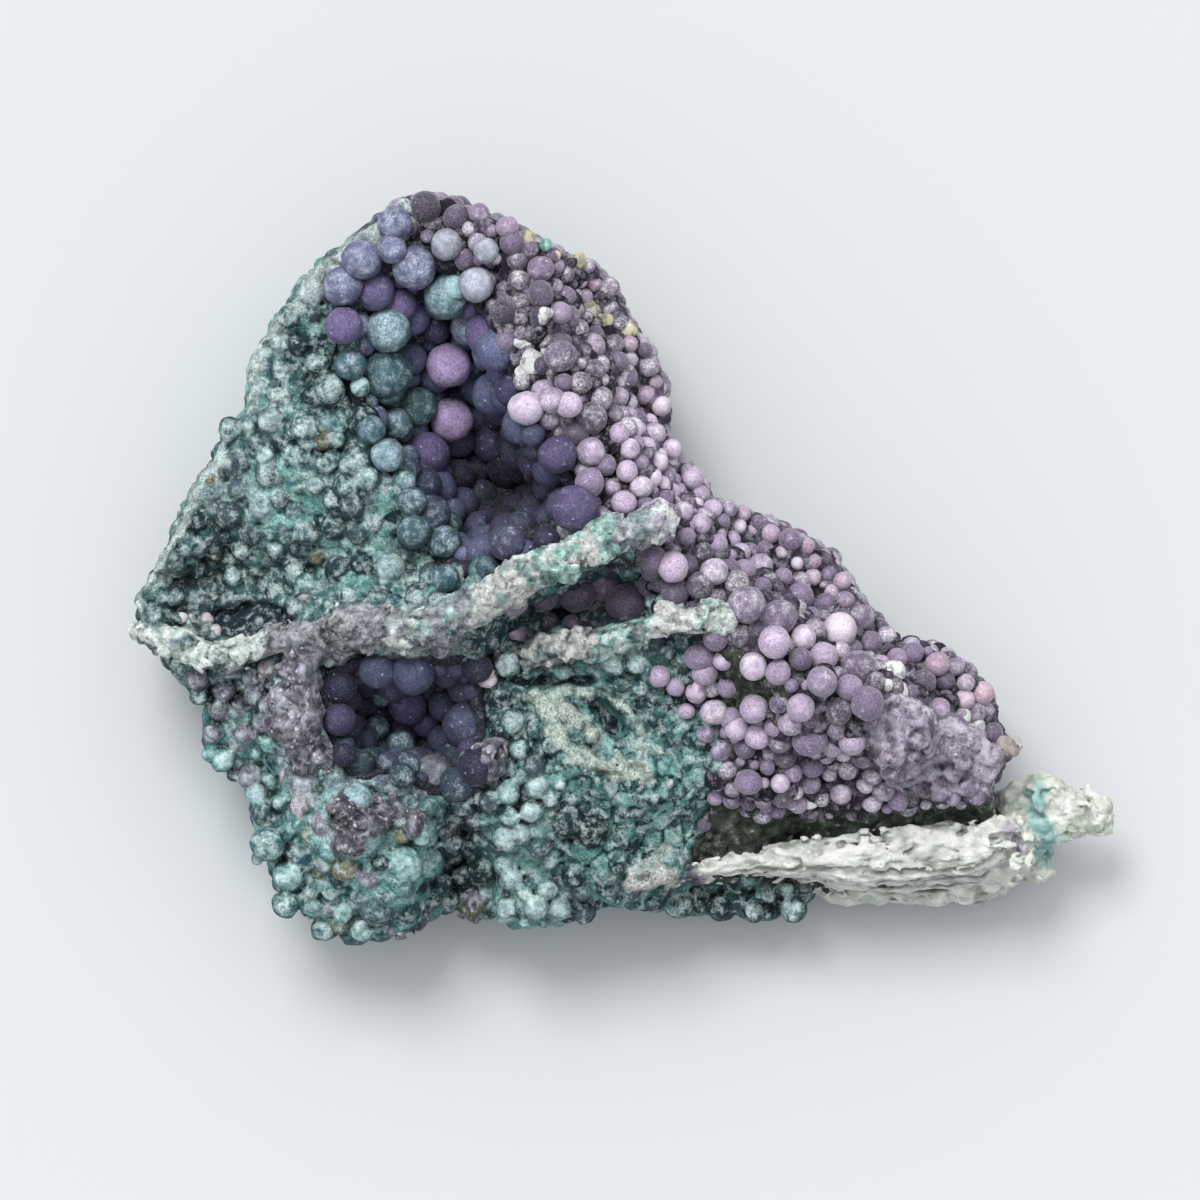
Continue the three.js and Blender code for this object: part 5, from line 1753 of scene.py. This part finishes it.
def make_purple_grapes(material):
    grapes = Grapes(11)
    for heroes in SURFACE_GRAPES.values():
        add_heroes(grapes, heroes)
    holes = [DRUSE_ZONE, MOSS_STRIP, MOSS_PATCH]
    for region in (CREST_REGION, MOUND_REGION):
        scatter_purple(grapes, region, (1.2, 1.8), 3000, (0.1, 0.7), 0.8, holes)
        scatter_purple(grapes, region, (0.7, 1.2), 3000, (0.2, 0.9), 0.85, holes)
    fill_flank(grapes, -12, 110, (1.1, 2.0), 2500, 0.8, purple_flank_tint, 0.1)
    piece = grapes.piece("purple_grapes", 0.05)
    return finish_piece(piece, material, "purple_grapes", "rock")


# Ridges


def spine(points):
    return [(*place(px, py), level, radius * MM_PER_PX) for px, py, radius, level in points]


RIDGE_ROOT = 5.0
LONG_RIDGE_BOX = ((-76, -18, 15), (11, 14, 53))
SHORT_RIDGE_BOX = ((-18, -20, 20), (20, 0, 50))
COLUMN_BOX = ((-56, -34, 20), (-40, -6, 42))
# Where along the view each stretch of a ridge starts, in pixels, with its base, dark and light colours
RIDGE_BANDS = {
    "long_ridge": [
        (120, WHITE_MINT * 0.9, DARK_TEAL * 1.4, WHITE_MINT),
        (272, DRUSE_GREY * 0.45, DARK_PURPLE * 0.7, DRUSE_GREY),
        (386, WHITE_MINT * 0.8, DRUSE_GREY * 0.6, WHITE_MINT), (420, DRUSE_GREY * 0.6, DARK_TEAL, MINT),
        (468, CREAM * 0.75, TEAL * 0.7, CREAM), (540, MINT * 0.7, DARK_TEAL * 1.2, CREAM),
        (612, DRUSE_GREY, TEAL * 0.7, WHITE_MINT), (648, LILAC * 0.9, PURPLE, WHITE_MINT),
    ],
    "short_ridge": [
        (500, CREAM * 0.75, DARK_TEAL, CREAM), (596, MINT * 0.85, DARK_TEAL, WHITE_MINT),
        (646, CREAM, DRUSE_GREY * 0.6, CREAM), (700, WHITE_MINT * 0.85, MINT * 0.7, WHITE_MINT),
    ],
    "druse_column": [(200, DRUSE_GREY * 0.45, DARK_PURPLE * 0.7, DRUSE_GREY)],
}


def band_colours(name, points):
    x, y, z = points.T
    wander = x + 1.6 * rough(x, y, z, 3.0, 3, 51)
    colours = np.zeros(points.shape)
    for seed, (start, base, dark, light) in enumerate(RIDGE_BANDS[name]):
        begun = wander >= (start - MIDDLE_PX[0]) * MM_PER_PX
        colours[begun] = mottled(points[begun], base, dark, light, 2.2, 52 + seed)
        if seed == 0:
            colours[~begun] = base
    return colours


def plate_shades(points, size, seed, spread):
    """A brightness for each broken facet: most middling, some nearly black, a few bright."""
    _, _, value = plates(*points.T, size, seed)
    return (1 - spread) + spread * (0.25 + 2.2 * value ** 2.2)


def make_ridge(name, points, box, material, facets):
    block = Block(*box, COARSE_STEP)
    stations = spine(points)
    for index, (a, b) in enumerate(zip(stations, stations[1:])):
        block.add_bar(a[:3], b[:3], a[3], b[3], 0.6)
        fade = 1 - index / (len(stations) - 1)
        down = RIDGE_ROOT * fade
        root_a, root_b = (a[0], a[1], a[2] - down), (b[0], b[1], b[2] - down * 0.95)
        block.add_bar(root_a, root_b, a[3] * 0.9, b[3] * 0.9, 1.0)
    x, y, z = block.x, block.y, block.z
    near = np.abs(block.field) < 2.5
    at = (x[near], y[near], z[near])
    edge, _, value = plates(*at, 2.8, 3)
    _, _, fine_value = plates(*at, 1.0, 4)
    block.field[near] += (
        0.8 * rough(*at, 4.5, 4, 41) - facets * 1.6 * (value - 0.5) + 0.4 * np.clip(1 - edge / 0.3, 0, 1)
        - facets * 0.6 * (fine_value - 0.5)
    )
    piece = block.mesh(name)
    corners, normals = points_of(piece), normals_of(piece)
    crevice = np.clip(1 - block.field_at(corners + normals * 0.8) / 0.8, 0, 1)
    colours = 1.3 * band_colours(name, corners) * plate_shades(corners, 1.0, 4, 0.7 * facets)[:, None]
    # Crevices and undersides are darkened as painted shade
    under = np.clip(-normals[:, 2] * 0.5 + 0.2, 0, 1)
    colours = mix(colours, colours * 0.3, np.clip(crevice + under, 0, 1))
    set_tint(piece, colours, np.full(len(corners), 0.6))
    return finish_piece(piece, material, "druse", "rock")


# Ledge and spur

SPUR_START = (1008 - MIDDLE_PX[0]) * MM_PER_PX
LEDGE_CORNERS_PX = ((618, 925), (1128, 738))
LEDGE_TOP = 23.4
LEDGE_LAYERS = 14
LAYER_PITCH = 1.2
LAYER_THICK = 0.8
GROOVE_DEPTH = 0.9
LEDGE_ROOT_PX = 26
LEDGE_ROOT_TOP = 17.5


def ledge_layers(block):
    """Field of the flat-lying layers, each with a ragged outline of its own, and what fills between them."""
    stations = np.array(LEDGE_STATIONS_PX, float)
    station_x = (stations[:, 0] - MIDDLE_PX[0]) * MM_PER_PX
    back = (MIDDLE_PX[1] - stations[:, 1]) * MM_PER_PX
    front = (MIDDLE_PX[1] - stations[:, 2]) * MM_PER_PX
    x, y = block.x[:, :, 0], block.y[:, :, 0]
    field = np.full(block.x.shape, 50.0, dtype=np.float32)
    tilt = 0.9 * rough(x, y, 0 * x, 14, 2, 78) + 0.3 * rough(x, y, 0 * x, 4, 2, 77)
    level = block.z + tilt[:, :, None]
    random = np.random.default_rng(72)
    tops = LEDGE_TOP - LAYER_PITCH * (np.arange(LEDGE_LAYERS) + random.uniform(-0.35, 0.35, LEDGE_LAYERS))
    for index, top in enumerate(tops):
        share = 0.42 + 0.58 * (index / (LEDGE_LAYERS - 1)) ** 0.85 + random.uniform(-0.05, 0.05)
        wander = rough(x, y, index * 1.1 + 0 * x, 6, 5, 71)
        root = LEDGE_ROOT_PX if top < LEDGE_ROOT_TOP else 0
        back_y = np.interp(x, station_x, back) + root * MM_PER_PX
        front_y = np.interp(x, station_x, back + (front - back) * share)
        first_x = station_x[0] + random.uniform(0, 0.3) * index
        ends = np.maximum(first_x - x, x - station_x[-1] + random.uniform(0, 1.5))
        outline = np.maximum(np.maximum(front_y - y, y - back_y), ends) + wander
        layer = np.abs(level - top + LAYER_THICK / 2) - LAYER_THICK / 2
        sheet = smooth_max(outline[:, :, None], layer, 0.3)
        sunk = GROOVE_DEPTH * np.clip(0.55 + 1.3 * rough(x, y, index + 0 * x, 7, 3, 67), 0.1, 1.2)
        between = np.abs(level - top + LAYER_PITCH) - LAYER_PITCH / 2
        groove = np.maximum((outline + sunk)[:, :, None], between)
        field = smooth_min(field, np.minimum(sheet, groove), 0.15)
    return field.astype(np.float32)


def roughen_ledge(block):
    """Flakes on the layers, mostly on top, and broken chunks on the spur."""
    near = np.abs(block.field) < 2.5
    at = (block.x[near], block.y[near], block.z[near])
    _, _, value = plates(at[0], at[1], at[2] * 1.5, 1.7, 9)
    top_side = np.clip((at[2] - LEDGE_TOP + 2.5) / 2, 0.35, 1)
    flakes = rough(at[0] * 0.35, at[1] * 1.3, at[2] * 2.0, 1.7, 4, 73)
    block.field[near] += top_side * (0.9 * flakes + 0.3 * rough(*at, 1.2, 3, 70) - 0.5 * (value - 0.5))
    spur = np.clip(at[0] - SPUR_START, 0, 1)
    _, _, chunk = plates(*at, 2.4, 10)
    _, _, splinter = plates(*at, 1.2, 12)
    block.field[near] += spur * (1.0 * rough(*at, 3.5, 4, 74) - 1.5 * (chunk - 0.5) - 0.7 * (splinter - 0.5))


def ledge_colours(points, crevice):
    """Colours of the ledge and spur, with painted shade in their crevices, and how much each place belongs to
    the layered front.
    """
    x, y, z = points.T
    colours = mottled(points, CREAM * 1.18, LEDGE_SHADE * 1.8, CREAM * 1.25, 1.3, 75)
    green = np.clip(rough(x, y, z, 4, 3, 79) * 1.2 + (12 - z) / 6, 0, 1)
    colours = mix(colours, mottled(points, LOBE_GREEN, LOBE_GREEN * 0.7, WHITE_MINT, 2, 76), green * 0.7)
    # Crevices are painted a dark moss green: painted shade in the grooves
    colours = mix(colours, MOSS * 0.9, np.clip(crevice * 1.4 - 0.5, 0, 0.55))
    spur = mottled(points, SPUR_CREAM, LOBE_GREEN * 1.05, CREAM * 1.2, 1.6, 77)
    colours = mix(colours, spur, np.clip(x - SPUR_START, 0, 1))
    wander = 1.2 * rough(x, y, z, 1.8, 2, 80)
    streak = 1.2 - distance_to_line(x + wander, y, places(BAND_LINE)) / 1.5
    band = mottled(points, BAND_BLUE, TEAL * 1.3, BAND_WHITE, 1.0, 82)
    colours = mix(colours, band, np.clip(streak * 1.5, 0, 0.9))
    rim = 1.2 - distance_to_line(x + 0.8 * noise(x, y, z, 1.5, 90), y, places(RIM_LINE))
    colours = mix(colours, mottled(points, LILAC, PURPLE, WHITE_LILAC, 1.0, 92), np.clip(rim * 1.5, 0, 0.8))
    stain = 1.3 - distance_to_line(x + 0.8 * noise(x, y, z, 1.2, 84), y, places(STAIN_LINE)) / 1.4
    grey = mottled(points, DRUSE_GREY * 0.6, DARK_PURPLE, LILAC, 0.9, 85)
    colours = mix(colours, grey, np.clip(stain * 2, 0, 1))
    front = np.clip((LEDGE_TOP - 1.2 - z + 0.8 * rough(x, y, z, 3, 3, 86)) / 1.5, 0, 1)
    return colours, front * np.clip(SPUR_START - x, 0, 1)


def make_ledge(material):
    (low_x, low_y), (high_x, high_y) = places(LEDGE_CORNERS_PX)
    block = Block((low_x, low_y, 2), (high_x, high_y, 27), COARSE_STEP)
    block.field = ledge_layers(block)
    for px, py, radius_px, level in SPUR_LUMPS:
        block.add_ball((*place(px, py), level), radius_px * MM_PER_PX, 0.9)
    for index, (px, py, radius_px, level) in enumerate(LEDGE_LOBES):
        block.add_ball((*place(px, py), level), radius_px * MM_PER_PX, 0.5, owner=index)
    roughen_ledge(block)
    piece = block.mesh("pale_ledge")
    points, normals = points_of(piece), normals_of(piece)
    crevice = np.clip(1 - block.field_at(points + normals), 0, 1)
    set_tint(piece, *ledge_colours(points, crevice))
    return finish_piece(piece, material, "pale_ledge", "rock")


# Druse lumps and chips

LUMPS_STEP = 0.32
LUMPS_CORNERS_PX = ((250, 945), (520, 610))
# x, y and radius in pixels, how far the middle stands out in radii
DRUSE_LUMPS = [
    (290, 700, 20, .7), (300, 728, 22, .6), (283, 722, 16, .8), (310, 756, 17, .9), (322, 762, 13, 1.0),
    (340, 812, 15, .8), (356, 826, 20, .7), (374, 820, 16, .7), (350, 840, 16, .6), (398, 812, 14, .6),
    (412, 820, 12, .6), (484, 763, 20, .9), (494, 752, 14, .9), (380, 806, 12, .6),
    (418, 886, 8, .9), (400, 925, 13, .3), (420, 918, 11, .3), (474, 908, 15, .8), (350, 800, 12, .6),
    (296, 672, 14, .8), (372, 632, 12, 1.2), (340, 648, 12, 1.0),
]


def make_druse_lumps(material):
    (low_x, low_y), (high_x, high_y) = places(LUMPS_CORNERS_PX)
    block = Block((low_x, low_y, 8), (high_x, high_y, 48), LUMPS_STEP)
    for index, (px, py, radius_px, lift) in enumerate(DRUSE_LUMPS):
        x, y = place(px, py)
        radius = radius_px * MM_PER_PX
        base = float(height(np.array([x]), np.array([y]))[0])
        block.add_ball((x, y, base + lift * radius - 0.8), radius, 0.5, owner=index)
    x, y, z = block.x, block.y, block.z
    near = np.abs(block.field) < 2.0
    at = (x[near], y[near], z[near])
    _, _, value = plates(*at, 1.8, 13)
    _, _, fine_value = plates(*at, 0.9, 14)
    block.field[near] += (
        0.5 * rough(*at, 2.5, 2, 15) - 1.3 * (value - 0.5) - 0.6 * (fine_value - 0.5)
    )
    piece = block.mesh("druse_lumps")
    points, normals = points_of(piece), normals_of(piece)
    crevice = np.clip(1 - block.field_at(points + normals * 0.8) / 0.8, 0, 1)
    colours = mottled(points, DRUSE_GREY * 0.5, DARK_PURPLE * 0.7, DRUSE_GREY, 2.5, 16)
    colours = colours * plate_shades(points, 0.9, 14, 0.8)[:, None]
    # Crevices are darkened as painted shade
    colours = mix(colours, colours * 0.3, crevice)
    set_tint(piece, colours, np.full(len(points), 0.8))
    return finish_piece(piece, material, "druse", "rock")


# x, y and radius in pixels, how far the middle stands out in radii, height against width, colour
CHIPS = [
    (524, 345, 8, 1.0, .3, "white"), (532, 362, 12, .8, .3, "white"), (526, 374, 8, .8, .3, "white"),
    (545, 352, 6, .9, .4, "white"), (590, 312, 11, .9, .4, "yellow"), (602, 320, 10, .9, .4, "yellow"),
    (628, 330, 8, 1.0, .5, "yellow"), (578, 262, 9, .8, .5, "yellow"), (530, 240, 7, .9, .5, "yellow"),
    (545, 247, 7, .9, .5, "mint"), (556, 258, 6, .9, .5, "yellow"), (628, 376, 11, 1.0, .8, "white"),
    (543, 318, 9, 1.2, .9, "white"), (893, 672, 12, 1.2, .6, "white"), (884, 684, 8, 1.2, .5, "white"),
    (899, 690, 7, 1.2, .6, "white"), (964, 716, 9, 1.2, .5, "white"), (976, 714, 9, 1.2, .5, "white"),
    (980, 726, 8, 1.2, .5, "white"), (968, 730, 7, 1.2, .5, "white"),
    (1008, 748, 12, .6, .5, "beige"), (1016, 744, 8, .6, .5, "beige"), (765, 583, 5, 1.6, .6, "mint"),
    (403, 631, 12, 1.5, .5, "white"),
    (392, 627, 8, 1.5, .5, "white"), (415, 636, 8, 1.4, .5, "white"), (348, 616, 7, .8, .4, "white"),
    (338, 607, 5, .8, .4, "white"), (488, 680, 9, 1.3, .9, "pale"), (481, 667, 9, 1.5, .9, "pale"),
    (485, 673, 9, 1.4, .9, "pale"), (206, 620, 7, .8, .5, "pale"), (215, 630, 7, .8, .5, "pale"),
    (190, 622, 6, .8, .5, "white"), (178, 618, 7, .8, .5, "white"), (280, 664, 7, 1.2, .7, "pale"),
    (287, 671, 8, 1.2, .7, "pale"), (300, 660, 7, 1.2, .7, "mint"), (250, 677, 8, 1.3, .8, "pale"),
    (262, 675, 6, 1.3, .8, "pale"), (742, 778, 9, .8, .7, "pale"), (768, 768, 7, .9, .7, "white"),
    (792, 803, 6, .8, .7, "white"), (811, 803, 6, .8, .7, "white"), (661, 601, 7, 1.6, .8, "mint"),
    (664, 612, 9, 1.2, .7, "mint"), (697, 690, 11, 1.3, .8, "pink"), (717, 577, 3, 2.2, .7, "white"),
]
CHIP_COLOURS = {
    "white": srgb(238, 240, 242), "yellow": srgb(216, 208, 176), "mint": MINT,
    "beige": srgb(196, 184, 176), "pale": srgb(206, 192, 204), "pink": srgb(206, 182, 208),
}


def make_chips(material):
    chips = Grapes(51)
    for px, py, radius_px, lift, flat, kind in CHIPS:
        x, y = place(px, py)
        radius = radius_px * MM_PER_PX
        base = float(height(np.array([x]), np.array([y]))[0])
        stretch = (chips.random.uniform(0.8, 1.15), chips.random.uniform(0.8, 1.15), flat)
        centre = grape_at(x, y, base, radius, lift)
        chips.add(centre, radius, CHIP_COLOURS[kind] * chips.random.uniform(0.85, 1.0), 0.6, stretch)
    piece = chips.piece("broken_chips", 0.32, upright=True)
    piece.data.polygons.foreach_set("use_smooth", np.zeros(len(piece.data.polygons), dtype=bool))
    return finish_piece(piece, material, "druse", "rock")


# Stage, lights and camera

FLOOR_SIZE = 6.0


def make_floor():
    bpy.ops.mesh.primitive_plane_add(size=FLOOR_SIZE, location=(0, 0, 0))
    floor = bpy.context.active_object
    floor.name = "floor"
    shader = Shader("pale_floor")
    shader.set(Base_Color=(*FLOOR_COLOUR, 1.0), Roughness=0.9, Specular_IOR_Level=0.1)
    floor.data.materials.append(shader.material)


SKY_STRENGTH = 0.61
# Strength, angular width in radians, and the direction that the light comes from
LIGHTS = {
    "key": (1.85, 0.42, (-0.3, 0.72, 1.2)),
    "soft": (1.2, 1.4, (-0.2, 0.7, 1.1)),
}


def make_lights():
    world = bpy.data.worlds.new("studio")
    bpy.context.scene.world = world
    world.use_nodes = True
    background = world.node_tree.nodes["Background"]
    background.inputs["Color"].default_value = (0.97, 0.985, 1.0, 1.0)
    background.inputs["Strength"].default_value = SKY_STRENGTH
    for name, (strength, width, come_from) in LIGHTS.items():
        data = bpy.data.lights.new(name, "SUN")
        data.energy = strength
        data.angle = width
        data.color = (1.0, 0.99, 0.975)
        light = bpy.data.objects.new(name, data)
        light.rotation_euler = Vector(come_from).to_track_quat("Z", "Y").to_euler()
        bpy.context.scene.collection.objects.link(light)


CAMERA_HEIGHT = 2.0
SENSOR = 36.0
FOCUS_LEVEL_MM = 28.0


def make_camera():
    data = bpy.data.cameras.new("camera")
    data.sensor_width = SENSOR
    seen = PHOTO_PX * MM_PER_PX * MM
    data.lens = SENSOR * (CAMERA_HEIGHT - FOCUS_LEVEL_MM * MM) / seen
    camera = bpy.data.objects.new("camera", data)
    x, y = place(PHOTO_PX / 2, PHOTO_PX / 2)
    camera.location = (x * MM, y * MM, CAMERA_HEIGHT)
    bpy.context.scene.collection.objects.link(camera)
    bpy.context.scene.camera = camera


bpy.context.scene.view_settings.view_transform = "Standard"
make_camera()
make_lights()
make_floor()
make_core()
stained_stone = skin_material("stained_crust", STAIN_FROST, STAIN_DEEP, paleness=0.88, bare=0.59, glow=0.0)
ground_stone = skin_material("purple_crust", GROUND_FROST, GROUND_DEEP, paleness=0.65, bare=0.6, glow=0.1)
make_teal_skins(stained_stone)
make_purple_ground(ground_stone)
hollow_stone = grape_material(
    "hollow_chalcedony", HOLLOW_FROST, HOLLOW_SHADE, glow=0.4, sheen=0.06, crackle=0.1, gloss=0.25
)
make_crust("upper_hollow_grapes", "upper_hollow_crust", upper_hollow, UPPER_GRAPES, UPPER_BOX,
           UPPER_LINING, upper_coating, 21, hollow_stone)
make_crust("lower_hollow_grapes", "lower_hollow_crust", lower_hollow, LOWER_GRAPES, LOWER_BOX,
           LOWER_LINING, lower_coating, 22, hollow_stone)
purple_stone = grape_material(
    "purple_chalcedony", PURPLE_FROST, PURPLE_SHADE, glow=0.5, sheen=0.5, crackle=0.2, gloss=0.45
)
make_purple_grapes(purple_stone)
druse_stone = druse_material()
ridge_stone = skin_material("ridge_crust", RIDGE_FROST, RIDGE_DEEP, paleness=0.5, bare=0.56, glow=0.1)
make_ridge("long_ridge", LONG_RIDGE, LONG_RIDGE_BOX, ridge_stone, 0.8)
make_ridge("short_ridge", SHORT_RIDGE, SHORT_RIDGE_BOX, ridge_stone, 0.8)
make_ridge("druse_column", DRUSE_COLUMN, COLUMN_BOX, druse_stone, 1.0)
make_druse_lumps(druse_stone)
make_chips(druse_stone)
make_ledge(ledge_material())
